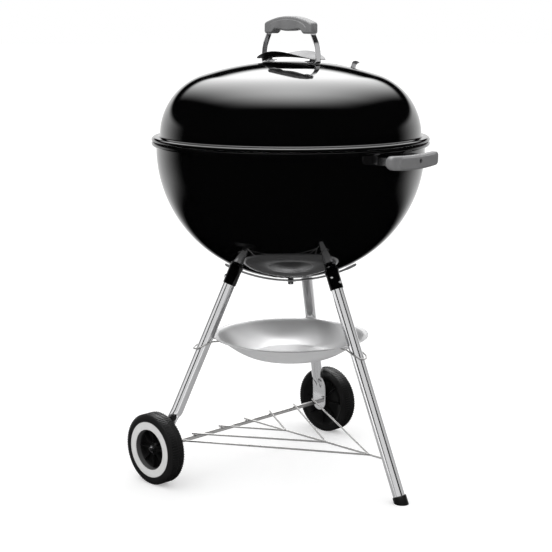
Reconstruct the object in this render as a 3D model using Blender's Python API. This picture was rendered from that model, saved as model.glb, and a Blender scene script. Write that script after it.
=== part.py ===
"""Kettle charcoal grill on three tubular legs, two of them on wheels.

The frame stands on the ground under the kettle's own axis, +Z up. The cook stands at -Y,
so +X is right, where the footed leg and one side grip are, and the wheels are at the left.
Every length is in metres and every angle in radians, unless a name ends in _deg.
"""

import math

import bmesh
import bpy
from mathutils import Matrix, Vector

# Pressed steel kettle: two dished shells of one sheet thickness, meeting at the rim.
SHEET = 0.0012
ROUND = 36
GAP = 0.0003
RIM_R = 0.2865
BOWL_SIDE_R = 0.2676
BOWL_SIDE_X = 0.0093
BOWL_SIDE_Z = 0.6945
BOWL_BASE_R = 0.2838
BOWL_BASE_Z = 0.7078
BEAD_R = 0.005
BEAD_Z = 0.7063
LID_CROWN_R = 0.592
LID_SHOULDER_R = 0.1291
LID_SHOULDER_X = 0.14
LID_SHOULDER_Z = 0.7202
LID_FLARE_R = 0.0179
LID_FLARE_Z = 0.7309

# Legs: steel tubes pushed into sockets on the bowl, splayed along its radius.
TUBE_R = 0.0127
TUBE_WALL = 0.0012
SPLAY = math.radians(23.41)
FOOT_R = 0.3118
SOCKET_LOW = 0.4508
SOCKET_HIGH = 0.4893
SOCKET_R = 0.014
LEG_SCREW_HOLE_R = 0.0024
LEG_TURN = {"right": 0.0, "back": math.radians(120), "front": math.radians(240)}

# Wheels on one axle through the flattened ends of the two left legs.
AXLE_X = -0.138
AXLE_R = 0.00475
WHEEL_R = 0.075
WHEEL_IN = 0.245
WHEEL_WIDTH = 0.0356
RING_IN = 0.0428
RING_OUT = 0.0587
PLATE_Y = 0.2365
PLATE_HALF = 0.0195

# Sweeping damper under the bowl: a shaft, three blades inside and a lever below.
SHAFT_R = 0.006
LEVER_TURN = math.radians(44.5)
LEVER_REACH = 0.138
BLADE_HALF = math.radians(16)
BLADE_IN = 0.0166
BLADE_OUT = 0.108
VENT_TURNS = [math.radians(60 + 120 * k) for k in range(3)]

# Ash pan, wire rack and the two grates.
PAN_R = 0.1645
PAN_Z = 0.2993
PAN_DEPTH = 0.045
RACK_Z = 0.0823
RACK_WIRE_R = 0.002
COOKING_Z = 0.690
COOKING_R = 0.2695
CHARCOAL_Z = 0.530
CHARCOAL_R = 0.2120
GRATE_WIRE_R = 0.003

# Lid handle, its shield, and the damper on the crown.
STRAP_THICK = 0.0025
STRAP_WIDE = 0.014
BOLT_X = 0.061
DAMPER_Y = 0.13
DAMPER_R = 0.045
DAMPER_TILT = math.asin(DAMPER_Y / LID_CROWN_R)
DAMPER_HOLE_R = 0.010
DAMPER_HOLES_AT = 0.0245
TAB_TURN = math.radians(23)
BOLT_HOLE_R = 0.0034
SHIELD_REACH = 0.083
SHIELD_THICK = 0.0010
SHIELD_FOOT_WIDE = 0.030

# Side grips.
GRIP_OUT = 0.328
GRIP_HALF = 0.0755
GRIP_TURN = math.radians(2.5)
GRIP_Z = 0.689
GRIP_IN = 0.3085
GRIP_SCREW_Y = 0.0095
BOW_X = 0.3065
BOW_HALF = 0.052

for old in list(bpy.data.objects):
    bpy.data.objects.remove(old, do_unlink=True)


def painted(name, colour, roughness, metallic):
    """A Principled material, made once and shared by the pieces of one finish."""
    material = bpy.data.materials.get(name) or bpy.data.materials.new(name)
    material.use_nodes = True
    shader = material.node_tree.nodes["Principled BSDF"]
    shader.inputs["Base Color"].default_value = (*colour, 1.0)
    shader.inputs["Roughness"].default_value = roughness
    shader.inputs["Metallic"].default_value = metallic
    return material


ENAMEL = painted("black_enamel", (0.006, 0.006, 0.007), 0.08, 0.0)
NYLON = painted("grey_nylon", (0.17, 0.17, 0.175), 0.45, 0.0)
BRIGHT = painted("bright_steel", (0.62, 0.62, 0.63), 0.18, 1.0)
ALUMINIUM = painted("satin_aluminium", (0.72, 0.72, 0.72), 0.32, 1.0)
PLATED = painted("plated_wire", (0.45, 0.45, 0.45), 0.3, 1.0)
TREAD = painted("black_plastic", (0.012, 0.012, 0.012), 0.5, 0.0)
WHITE = painted("white_plastic", (0.8, 0.8, 0.8), 0.4, 0.0)


def piece(name, bm, material, parent=None, place=None):
    """Turns a bmesh into a named object with its faces out and its round sides smooth."""
    bmesh.ops.remove_doubles(bm, verts=bm.verts, dist=1e-6)
    bmesh.ops.recalc_face_normals(bm, faces=bm.faces)
    mesh = bpy.data.meshes.new(name)
    bm.to_mesh(mesh)
    bm.free()
    mesh.shade_smooth()
    mesh.set_sharp_from_angle(angle=math.radians(35))
    mesh.materials.append(material)
    obj = bpy.data.objects.new(name, mesh)
    bpy.context.scene.collection.objects.link(obj)
    obj.parent = parent
    obj.matrix_basis = place or Matrix()
    return obj


def empty(name, place):
    """The joint's own axis, which the moving pieces hang from."""
    obj = bpy.data.objects.new(name, None)
    bpy.context.scene.collection.objects.link(obj)
    obj.matrix_basis = place
    return obj


def cut(obj, bm, operation="DIFFERENCE"):
    """Applies one hidden helper shape, given in the object's own space, to the object."""
    helper = piece(f"{obj.name}_{operation.lower()}", bm, obj.data.materials[0], obj.parent)
    helper.matrix_basis = obj.matrix_basis.copy()
    helper.hide_render = True
    helper.display_type = "WIRE"
    modifier = obj.modifiers.new(operation.title(), "BOOLEAN")
    modifier.operation = operation
    modifier.solver = "EXACT"
    modifier.object = helper


def arc(x, z, radius, start_deg, end_deg, steps):
    """Points of an arc in the profile plane, angles from +X towards +Z."""
    turns = [math.radians(start_deg + (end_deg - start_deg) * k / steps) for k in range(steps + 1)]
    return [(x + radius * math.cos(a), z + radius * math.sin(a)) for a in turns]


def spin(profile, segments, closed=True):
    """Turns a profile of (radius, height) points about Z. A closed one leaves a bore."""
    bm = bmesh.new()
    verts = [bm.verts.new((r, 0, z)) for r, z in profile]
    pairs = list(zip(verts, verts[1:]))
    if closed:
        pairs.append((verts[-1], verts[0]))
    edges = [bm.edges.new(pair) for pair in pairs]
    bmesh.ops.spin(
        bm,
        geom=verts + edges,
        cent=(0, 0, 0),
        axis=(0, 0, 1),
        angle=math.tau,
        steps=segments,
    )
    bmesh.ops.remove_doubles(bm, verts=bm.verts, dist=1e-6)
    return bm


def rods(runs, radius, sides=6):
    """Straight round bars from point to point, as separate closed prisms in one bmesh."""
    bm = bmesh.new()
    for start, end in runs:
        start, end = Vector(start), Vector(end)
        along = end - start
        turn = along.to_track_quat("Z", "Y").to_matrix().to_4x4()
        bmesh.ops.create_cone(
            bm,
            cap_ends=True,
            segments=sides,
            radius1=radius,
            radius2=radius,
            depth=along.length,
            matrix=Matrix.Translation((start + end) / 2) @ turn,
        )
    return bm


def boxes(blocks):
    """Blocks given as (centre, size, turn about Z)."""
    bm = bmesh.new()
    for centre, size, turn in blocks:
        place = Matrix.Rotation(turn, 4, "Z") @ Matrix.Translation(centre)
        bmesh.ops.create_cube(bm, size=1, matrix=place @ Matrix.Diagonal((*size, 1)))
    return bm


def loft(rings):
    """Skins rings of equal count, one after the other, and caps both ends."""
    bm = bmesh.new()
    rows = [[bm.verts.new(p) for p in ring] for ring in rings]
    count = len(rows[0])
    for low, high in zip(rows, rows[1:]):
        for k in range(count):
            after = (k + 1) % count
            bm.faces.new((low[k], low[after], high[after], high[k]))
    bm.faces.new(rows[0])
    bm.faces.new(rows[-1])
    return bm


def strip(path, thickness, widths):
    """A flat bar bent along a path in the XZ plane, its width along Y."""
    path = [Vector((x, 0, z)) for x, z in path]
    if not isinstance(widths, list):
        widths = [widths] * len(path)
    rings = []
    for k, point in enumerate(path):
        before = (point - path[k - 1]).normalized() if k else None
        after = (path[k + 1] - point).normalized() if k < len(path) - 1 else None
        run = ((before or after) + (after or before)).normalized()
        side = Vector((-run.z, 0, run.x))
        lean = side.dot(Vector((-(before or after).z, 0, (before or after).x)))
        out = side * (thickness / 2 / max(lean, 0.5))
        half = Vector((0, widths[k] / 2, 0))
        corners = (out + half, out - half, -out - half, -out + half)
        rings.append([point + corner for corner in corners])
    return loft(rings)


def shell_patch(surface, across, along):
    """A closed slab between two surfaces: surface(u, v, side), with side 0 or 1."""
    bm = bmesh.new()
    grid = []
    for side in (0, 1):
        rows = []
        for i in range(along + 1):
            row = [surface(i / along, j / across, side) for j in range(across + 1)]
            rows.append([bm.verts.new(point) for point in row])
        grid.append(rows)
    for side in grid:
        for i in range(along):
            for j in range(across):
                bm.faces.new((side[i][j], side[i + 1][j], side[i + 1][j + 1], side[i][j + 1]))
    low, high = grid
    rim = [(i, 0) for i in range(along)] + [(along, j) for j in range(across)]
    rim += [(i, across) for i in range(along, 0, -1)] + [(0, j) for j in range(across, 0, -1)]
    for (i, j), (p, q) in zip(rim, rim[1:] + rim[:1]):
        bm.faces.new((low[i][j], low[p][q], high[p][q], high[i][j]))
    return bm


def oval(centre, first, second, half_a, half_b, power, count=16):
    """A ring that runs from an ellipse (power 1) to nearly a rectangle (power 0.3)."""
    ring = []
    for k in range(count):
        a = math.tau * k / count
        c, s = math.cos(a), math.sin(a)
        u = half_a * math.copysign(abs(c) ** power, c)
        v = half_b * math.copysign(abs(s) ** power, s)
        ring.append(Vector(centre) + Vector(first) * u + Vector(second) * v)
    return ring


def lid_z(radius):
    """Height of the lid's outer face at a radius on its crown."""
    return LID_CROWN_Z + math.sqrt(LID_CROWN_R**2 - radius**2)


# The crown's centre lies where its arc runs smoothly into the shoulder's arc.
LID_CROWN_Z = LID_SHOULDER_Z - math.sqrt((LID_CROWN_R - LID_SHOULDER_R) ** 2 - LID_SHOULDER_X**2)
CROWN_END_DEG = 90 - math.degrees(math.asin(LID_SHOULDER_X / (LID_CROWN_R - LID_SHOULDER_R)))
SHOULDER_END_DEG = math.degrees(math.asin((LID_FLARE_Z - LID_SHOULDER_Z) / LID_SHOULDER_R))
BASE_END_DEG = -math.degrees(math.asin((BOWL_BASE_Z - BOWL_SIDE_Z) / (BOWL_BASE_R - BOWL_SIDE_R)))


def lid_profile(inset):
    """From the crown's top to the edge of the flared skirt, inset from the outer face."""
    crown = arc(0, LID_CROWN_Z, LID_CROWN_R - inset, 90, CROWN_END_DEG, 3)
    shoulder = arc(
        LID_SHOULDER_X, LID_SHOULDER_Z, LID_SHOULDER_R - inset, CROWN_END_DEG, SHOULDER_END_DEG, 5
    )
    flare = arc(RIM_R, LID_FLARE_Z, LID_FLARE_R + inset, 180, 270, 3)
    return crown + shoulder[1:] + flare[1:]


def make_lid(parent):
    outer = lid_profile(0)
    inner = lid_profile(SHEET)
    lid = piece("lid_shell", spin(outer + inner[::-1], ROUND, closed=False), ENAMEL, parent)
    tilt = damper_place()
    holes = []
    for low, high in damper_holes(0):
        holes.append((tilt @ low, tilt @ high))
    cut(lid, rods(holes, DAMPER_HOLE_R, 8))
    small = [(tilt @ Vector((0, 0, -0.01)), tilt @ Vector((0, 0, 0.01)))]
    small += [((x, 0, 0.85), (x, 0, 0.88)) for x in (-BOLT_X, BOLT_X)]
    cut(lid, rods(small, BOLT_HOLE_R, 12))
    hook = [(0.2555, 0.768), (0.2622, 0.745), (0.2560, 0.735), (0.2480, 0.735), (0.2480, 0.748)]
    turn = Matrix.Rotation(math.pi, 4, "Z")
    piece("lid_hook", strip(hook, 0.002, 0.018), BRIGHT, parent, turn)


def damper_place():
    """On the crown, its own Z along the crown's normal."""
    spot = Vector((0, DAMPER_Y, lid_z(DAMPER_Y)))
    return Matrix.Translation(spot) @ Matrix.Rotation(-DAMPER_TILT, 4, "X")


def damper_holes(turn):
    """The ends of four drillings round the damper's own axis, turned on from the tab."""
    runs = []
    for k in range(4):
        a = TAB_TURN + turn + math.radians(90 * k)
        spot = DAMPER_HOLES_AT * Vector((math.cos(a), math.sin(a), 0))
        runs.append((spot - Vector((0, 0, 0.01)), spot + Vector((0, 0, 0.01))))
    return runs


def make_lid_damper(parent):
    """A dished disc with four holes and a bent-up thumb tab, turning on a rivet."""
    lift, thick = 0.0006, 0.001
    radii = [0.0036, 0.025, DAMPER_R]
    under = [(r, math.sqrt((LID_CROWN_R + lift) ** 2 - r * r) - LID_CROWN_R) for r in radii]
    over = [(r, z + thick) for r, z in under]
    disc = piece("lid_damper", spin(under + over[::-1], 24), ALUMINIUM, parent, damper_place())
    cut(disc, rods(damper_holes(math.radians(45)), DAMPER_HOLE_R, 8))
    tab = boxes([((DAMPER_R - 0.0015, 0, 0.007), (0.0014, 0.027, 0.016), TAB_TURN)])
    cut(disc, tab, "UNION")
    profile = [(0, 0.0050), (0.0035, 0.0045), (0.0055, 0.0030), (0.0055, 0.0020), (0.003, 0.0020)]
    profile += [(0.003, -0.0045), (0, -0.0045)]
    rivet = spin(profile, 12, closed=False)
    piece("lid_damper_rivet", rivet, BRIGHT, parent, damper_place())


def make_lid_handle(parent):
    """A nylon grip on two bowed steel straps, over a saddle-shaped shield."""
    foot = 0.00165
    strap = [(x, lid_z(x) + foot) for x in (0.0530, 0.0640, 0.0745)]
    strap += [(0.0775, 0.8725), (0.0768, 0.886), (0.0733, 0.904)]
    strap += [(0.0665, 0.916), (0.0622, 0.9262), (0.0613, 0.940)]
    seat = lid_z(BOLT_X) + 0.0051
    under = lid_z(BOLT_X) - SHEET - 0.0075
    bolt = [(0, seat + 0.004), (0.0052, seat + 0.0035), (0.0055, seat)]
    bolt += [(0.003, seat), (0.003, under), (0, under)]
    top = lid_z(BOLT_X) - SHEET - 0.0012
    nut = [(BOLT_HOLE_R, top), (0.0062, top), (0.0062, top - 0.005), (BOLT_HOLE_R, top - 0.005)]
    for name, turn in (("right", 0), ("left", math.pi)):
        place = Matrix.Rotation(turn, 4, "Z")
        bar = strip(strap, STRAP_THICK, STRAP_WIDE)
        obj = piece(f"lid_handle_strap_{name}", bar, BRIGHT, parent, place)
        cut(obj, rods([((BOLT_X, 0, 0.86), (BOLT_X, 0, 0.88))], BOLT_HOLE_R, 12))
        at_bolt = place @ Matrix.Translation((BOLT_X, 0, 0))
        body = spin(bolt, 12, closed=False)
        piece(f"lid_handle_bolt_{name}", body, BRIGHT, parent, at_bolt)
        piece(f"lid_handle_nut_{name}", spin(nut, 12), BRIGHT, parent, at_bolt)
    stations = [
        (0.0000, 0.9315, 0.9616),
        (0.0180, 0.9320, 0.9608),
        (0.0340, 0.9345, 0.9583),
        (0.0410, 0.9300, 0.9565),
        (0.0480, 0.9262, 0.9543),
        (0.0600, 0.9262, 0.9503),
        (0.0645, 0.9290, 0.9485),
        (0.0660, 0.9320, 0.9465),
    ]
    both = [(-x, low, high) for x, low, high in stations[:0:-1]] + stations
    rings = []
    for x, low, high in both:
        half = 0.0120 if abs(x) < 0.0646 else 0.0105
        middle = (x, 0, (low + high) / 2)
        rings.append(oval(middle, (0, 1, 0), (0, 0, 1), half, (high - low) / 2, 0.55, 12))
    grip = piece("lid_handle_grip", loft(rings), NYLON, parent)
    cut(grip, boxes([((x, 0, 0.932), (0.0050, 0.0160, 0.0192), 0) for x in (-0.0615, 0.0615)]))


def shield_height(x, y):
    """Saddle: it falls towards its two ends and rises towards its two long edges."""
    run = abs(x) / SHIELD_REACH
    return 0.8795 - 0.0045 * run**2 + 6.0 * y * y * (1 - 0.3 * run**2)


def make_heat_shield(parent):
    def surface(u, v, side):
        x = SHIELD_REACH * (2 * u - 1)
        half = 0.015 + 0.030 * (1 - (x / SHIELD_REACH) ** 2) ** 0.8
        y = half * (2 * v - 1)
        return Vector((x, y, shield_height(x, y) - SHIELD_THICK * side))

    shield = piece("lid_heat_shield", shell_patch(surface, 4, 10), ALUMINIUM, parent)
    for x in (-1, 1):
        # The strap passes the shield's end in a notch, and a foot is bent down inside it.
        foot_z = lid_z(BOLT_X) + 0.0039
        path = [(x * 0.0540, foot_z + 0.0006), (x * 0.0672, foot_z - 0.0004), (x * 0.0680, 0.8772)]
        cut(shield, strip(path, 0.0012, SHIELD_FOOT_WIDE), "UNION")
    notches = boxes([((x * 0.0800, 0, 0.878), (0.0120, 0.0180, 0.02), 0) for x in (-1, 1)])
    cut(shield, notches)
    for x in (-1, 1):
        cut(shield, rods([((x * BOLT_X, 0, 0.860), (x * BOLT_X, 0, 0.8745))], BOLT_HOLE_R, 12))
        cut(shield, rods([((x * BOLT_X, 0, 0.8747), (x * BOLT_X, 0, 0.90))], 0.0062, 12))


def bowl_profile():
    """A closed outline: up the outer face, over the rolled bead, and down the inner face."""
    hole = 0.0068
    low = -90 + math.degrees(math.asin(hole / BOWL_BASE_R))
    outer = arc(0, BOWL_BASE_Z, BOWL_BASE_R, low, BASE_END_DEG, 4)
    outer += arc(BOWL_SIDE_X, BOWL_SIDE_Z, BOWL_SIDE_R, BASE_END_DEG, 0, 6)[1:]
    wall = BOWL_SIDE_X + BOWL_SIDE_R
    bead = [(wall + 0.0003, 0.7005)] + arc(RIM_R - BEAD_R, BEAD_Z, BEAD_R, -80, 90, 4)
    inner_wall = wall - SHEET
    inner = [(inner_wall + 0.0012, BEAD_Z + BEAD_R), (inner_wall, BEAD_Z + BEAD_R - 0.0015)]
    inner += arc(BOWL_SIDE_X, BOWL_SIDE_Z, BOWL_SIDE_R - SHEET, 0, BASE_END_DEG, 6)
    inner += arc(0, BOWL_BASE_Z, BOWL_BASE_R - SHEET, BASE_END_DEG, low, 4)[1:]
    return outer + bead + inner


def make_bowl():
    bowl = piece("bowl_shell", spin(bowl_profile(), ROUND), ENAMEL)
    slots = []
    for turn in VENT_TURNS:
        for side in (-1, 0, 1):
            slots.append(((0.075, 0, 0.45), (0.046, 0.007, 0.08), turn + side * math.radians(9.5)))
    cut(bowl, boxes(slots))


def leg_place(turn):
    """From the foot's point on the ground, with the leg's own Z along the tube."""
    swing = Matrix.Rotation(turn, 4, "Z")
    return swing @ Matrix.Translation((FOOT_R, 0, 0)) @ Matrix.Rotation(-SPLAY, 4, "Y")


def tube(low, high, outer, inner, segments=24):
    return spin([(outer, low), (outer, high), (inner, high), (inner, low)], segments)


def rear_leg_rings(side):
    """Rings of one left leg, from its top to the round end of its flattened plate."""
    place = leg_place(LEG_TURN["back"])
    along = (place.to_3x3() @ Vector((0, 0, 1))).normalized()
    first = (Vector((1, 0, 0)) - along * along.x).normalized()
    second = along.cross(first)
    round_end = 0.150 / math.cos(SPLAY)
    tops = [place @ Vector((0, 0, t)) for t in (SOCKET_HIGH - 0.0027, round_end)]
    outer = [oval(p, first, second, TUBE_R, TUBE_R, 1) for p in tops]
    blend = place @ Vector((0, 0, 0.125 / math.cos(SPLAY)))
    blend.y += 0.002
    outer.append(oval(blend, (1, 0, 0), (0, 1, 0.2), 0.0168, 0.0080, 0.9))
    for z, half in ((0.102, PLATE_HALF), (0.0745, PLATE_HALF)):
        outer.append(oval((AXLE_X, PLATE_Y, z), (1, 0, 0), (0, 1, 0), half, 0.002, 0.35))
    for turn_deg in (35, 62, 82):
        z = 0.0745 - PLATE_HALF * math.sin(math.radians(turn_deg))
        half = PLATE_HALF * math.cos(math.radians(turn_deg))
        outer.append(oval((AXLE_X, PLATE_Y, z), (1, 0, 0), (0, 1, 0), half, 0.002, 0.35))
    bore = TUBE_R - TUBE_WALL
    inner = [oval(p, first, second, bore, bore, 1) for p in (tops[1], tops[0])]
    rings = inner + outer
    return [[Vector((p.x, side * p.y, p.z)) for p in ring] for ring in rings]


def make_legs():
    for name, turn in LEG_TURN.items():
        place = leg_place(turn)
        sleeve = tube(SOCKET_LOW, SOCKET_HIGH, SOCKET_R, SOCKET_R - 0.001)
        socket = piece(f"leg_socket_{name}", sleeve, ENAMEL, None, place)
        height = SOCKET_LOW + 0.013
        drill = (Vector((0, 0, height)), Vector((0.03, 0, height)))
        cut(socket, rods([drill], LEG_SCREW_HOLE_R, 12))
        if name == "right":
            straight = tube(0.0100, SOCKET_HIGH - 0.0027, TUBE_R, TUBE_R - TUBE_WALL)
            leg = piece("leg_right", straight, BRIGHT, None, place)
            cut(leg, rods([drill], LEG_SCREW_HOLE_R, 12))
        else:
            leg = piece(f"leg_{name}", loft(rear_leg_rings(1 if name == "back" else -1)), BRIGHT)
            cut(leg, rods([(place @ drill[0], place @ drill[1])], LEG_SCREW_HOLE_R, 12))
        screw = [(0, 0.0170), (0.0025, 0.0168), (0.0042, 0.0155), (0.0042, 0.0143), (0.0019, 0.0143)]
        screw += [(0.0019, 0.0100), (0, 0.0100)]
        lie = place @ Matrix.Translation((0, 0, height)) @ Matrix.Rotation(math.pi / 2, 4, "Y")
        piece(f"leg_screw_{name}", spin(screw, 12, closed=False), BRIGHT, None, lie)
    wire = rods([((-0.05, 0, 0), (0.0, 0, 0))], 0.0026, 12)
    hole = Matrix.Translation((FOOT_R - math.tan(SPLAY) * RACK_Z, 0, RACK_Z))
    bmesh.ops.transform(wire, matrix=leg_place(0).inverted() @ hole, verts=wire.verts)
    cut(bpy.data.objects["leg_right"], wire)
    for name, side in (("back", 1), ("front", -1)):
        drill = [((AXLE_X, side * (PLATE_Y + y), WHEEL_R)) for y in (-0.0365, 0.02)]
        cut(bpy.data.objects[f"leg_{name}"], rods([drill], AXLE_R + 0.0005, 16))


def make_leg_cap():
    """A short plastic cup on the tube's end, cut level with the ground."""
    outer, bore = 0.0145, 0.0131
    profile = [(0, -0.010), (outer, -0.010), (outer, 0.0150)]
    profile += [(bore, 0.0156), (bore, 0.0096), (0, 0.0096)]
    bm = spin(profile, 24, closed=False)
    bmesh.ops.transform(bm, matrix=leg_place(0), verts=bm.verts)
    whole = bm.verts[:] + bm.edges[:] + bm.faces[:]
    done = bmesh.ops.bisect_plane(
        bm, geom=whole, plane_co=(0, 0, 0), plane_no=(0, 0, -1), clear_outer=True, dist=1e-7
    )
    edge = [e for e in done["geom_cut"] if isinstance(e, bmesh.types.BMEdge)]
    bmesh.ops.edgeloop_fill(bm, edges=edge)
    piece("leg_cap", bm, TREAD)


def wheel_place(side):
    """On the axle's line at the wheel's inner face, its own Z pointing outwards."""
    spot = Matrix.Translation((AXLE_X, side * WHEEL_IN, WHEEL_R))
    return spot @ Matrix.Rotation(-side * math.pi / 2, 4, "X")


def make_wheels():
    wide = WHEEL_WIDTH
    profile = [
        (0.0051, -0.0055), (0.0120, -0.0055), (0.0130, 0.0060), (0.0500, 0.0060), (0.0550, 0.0000),
        (0.0690, 0.0000), (0.0736, 0.0022), (WHEEL_R, 0.0060), (WHEEL_R, wide - 0.0060),
        (0.0736, wide - 0.0022), (0.0690, wide), (0.0592, wide), (0.0592, wide - 0.0015),
        (0.0423, wide - 0.0015), (0.0414, 0.0180), (0.0135, 0.0180), (0.0125, 0.0235), (0.0051, 0.0235),
    ]
    ring = [(RING_OUT, wide - 0.0012), (RING_OUT, wide + 0.0002)]
    ring += [(RING_IN, wide + 0.0002), (RING_IN, wide - 0.0012)]
    cap = [(0, 0.0330), (0.0045, 0.0322), (0.0080, 0.0290), (0.0085, 0.0238), (0.0051, 0.0238)]
    cap += [(0.0051, 0.0305), (0, 0.0305)]
    for name, side in (("front", -1), ("back", 1)):
        hub = empty(f"wheel_axis_{name}", wheel_place(side))
        wheel = piece(f"wheel_{name}", spin(profile, 24), TREAD, hub)
        turns = [math.radians(45 * k + 22.5) for k in range(8)]
        ribs = [((0.0275, 0, 0.0205), (0.0285, 0.0022, 0.0090), a) for a in turns]
        cut(wheel, boxes(ribs), "UNION")
        piece(f"whitewall_{name}", spin(ring, 24), WHITE, hub)
        piece(f"axle_cap_{name}", spin(cap, 16, closed=False), BRIGHT, None, wheel_place(side))
    end = WHEEL_IN + 0.0300
    piece("axle", rods([((AXLE_X, -end, WHEEL_R), (AXLE_X, end, WHEEL_R))], AXLE_R, 16), PLATED)


def make_rack():
    """Three nested V wires and a centre wire, welded flat and lying on the axle."""
    reach = 0.006
    end = FOOT_R - math.tan(SPLAY) * RACK_Z - 0.010
    centre = ((AXLE_X - reach, 0, RACK_Z), (end, 0, RACK_Z))
    rack = piece("wire_rack", rods([centre], RACK_WIRE_R, 8), PLATED)
    for apex, spread in ((0.224, 0.215), (0.102, 0.153), (-0.016, 0.075)):
        for side in (-1, 1):
            tip = Vector((apex, 0, RACK_Z + side * 0.0002))
            back = Vector((AXLE_X, side * spread, RACK_Z + side * 0.0002))
            run = (back - tip).normalized()
            cut(rack, rods([(tip - run * 0.003, back + run * reach)], RACK_WIRE_R, 8), "UNION")


def make_ash_pan():
    """A spun dish with a flat floor and a flat rim, lying on three wire clips."""
    thick = 0.0012
    low = PAN_Z - PAN_DEPTH
    floor_r, side_r = 0.080, PAN_R - 0.008
    side = []
    for k in range(6):
        u = k / 5
        side.append((floor_r + (side_r - floor_r) * u, low + (PAN_DEPTH - 0.0015) * u**1.5))
    under = [(0, low)] + side + [(PAN_R, PAN_Z - thick)]
    over = [(PAN_R, PAN_Z), (side_r - 0.0008, PAN_Z)]
    over += [(r - 0.0008, z + thick) for r, z in side[-2::-1]]
    over.append((0, low + thick))
    piece("ash_pan", spin(under + over, ROUND, closed=False), ALUMINIUM)


def bent_wire(name, path, radius, material):
    """A round wire through the points of a path, its ends capped."""
    curve = bpy.data.curves.new(name, "CURVE")
    curve.dimensions = "3D"
    curve.bevel_depth = radius
    curve.bevel_resolution = 1
    curve.use_fill_caps = True
    spline = curve.splines.new("POLY")
    spline.points.add(len(path) - 1)
    for point, spot in zip(spline.points, path):
        point.co = (*spot, 1)
    curve.materials.append(material)
    wire = bpy.data.objects.new(name, curve)
    bpy.context.scene.collection.objects.link(wire)
    return wire


def make_pan_clips():
    """A wire U round the outside of each leg, both ends running in under the pan's rim."""
    wire_r, side = 0.0015, 0.0149
    inner_z = PAN_Z - 0.0012 - GAP - wire_r - 0.0004
    leg_r = FOOT_R - math.tan(SPLAY) * 0.285
    path = [(leg_r - 0.0296, side, inner_z), (leg_r - 0.016, side, inner_z)]
    path.append((leg_r + 0.002, side, inner_z - 0.007))
    for k in range(1, 6):
        a = math.pi * (0.5 - k / 6)
        drop = inner_z - 0.008 - 0.007 * math.cos(a)
        path.append((leg_r + 0.004 + 0.0175 * math.cos(a), side * math.sin(a), drop))
    path += [(x, -y, z) for x, y, z in path[2::-1]]
    for name, turn in LEG_TURN.items():
        clip = bent_wire(f"ash_pan_clip_{name}", path, wire_r, PLATED)
        clip.rotation_euler = (0, 0, turn)


def make_grate(name, radius, height, spacing, bars):
    """A wire ring filled with parallel rods, and two cross rods welded under them."""
    ring = arc(radius, height, GRATE_WIRE_R, 0, 360, 6)[:-1]
    grate = piece(name, spin(ring, ROUND), PLATED)
    runs = []
    for k in range(-bars, bars + 1):
        half = math.sqrt(radius**2 - (k * spacing) ** 2)
        runs.append(((k * spacing, -half, height + 0.0003), (k * spacing, half, height + 0.0003)))
    cut(grate, rods(runs, 0.0025, 6), "UNION")
    cross = []
    for y in (-radius * 0.4, radius * 0.4):
        half = math.sqrt(radius**2 - y * y)
        cross.append(((-half, y, height - 0.0012), (half, y, height - 0.0012)))
    cut(grate, rods(cross, 0.0026, 6), "UNION")


def make_brackets():
    """Four small angles inside the bowl that the cooking grate lies on."""
    top = COOKING_Z - GRATE_WIRE_R - GAP
    path = [(0.2575, top - 0.0008), (0.2705, top - 0.0008), (0.2705, 0.664)]
    for k in range(4):
        turn = Matrix.Rotation(math.radians(45 + 90 * k), 4, "Z")
        piece(f"grate_bracket_{k + 1}", strip(path, 0.0015, 0.020), BRIGHT, None, turn)


def side_grip_rings():
    """Rings along Y of one grip: a bellied bar with rounded ends and a slightly bowed face."""
    rings = []
    for k in range(-5, 6):
        y = GRIP_HALF * math.sin(k / 5 * math.pi / 2)
        edge = abs(y) / GRIP_HALF
        shrink = math.sqrt(max(0.0, 1 - max(0.0, (edge - 0.86) / 0.14) ** 2 * 0.8))
        high = 0.0115 + 0.0030 * edge**2
        low = -0.0165 + 0.0045 * edge**2
        outer = GRIP_OUT - 0.0025 * edge**2
        depth = (outer - GRIP_IN) / 2
        centre = (outer - depth, y, GRIP_Z + (high + low) / 2)
        wide = depth * (0.7 + 0.3 * shrink)
        tall = (high - low) / 2 * shrink
        rings.append(oval(centre, (1, 0, 0), (0, 0, 1), wide, tall, 0.5, 12))
    return rings


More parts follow.
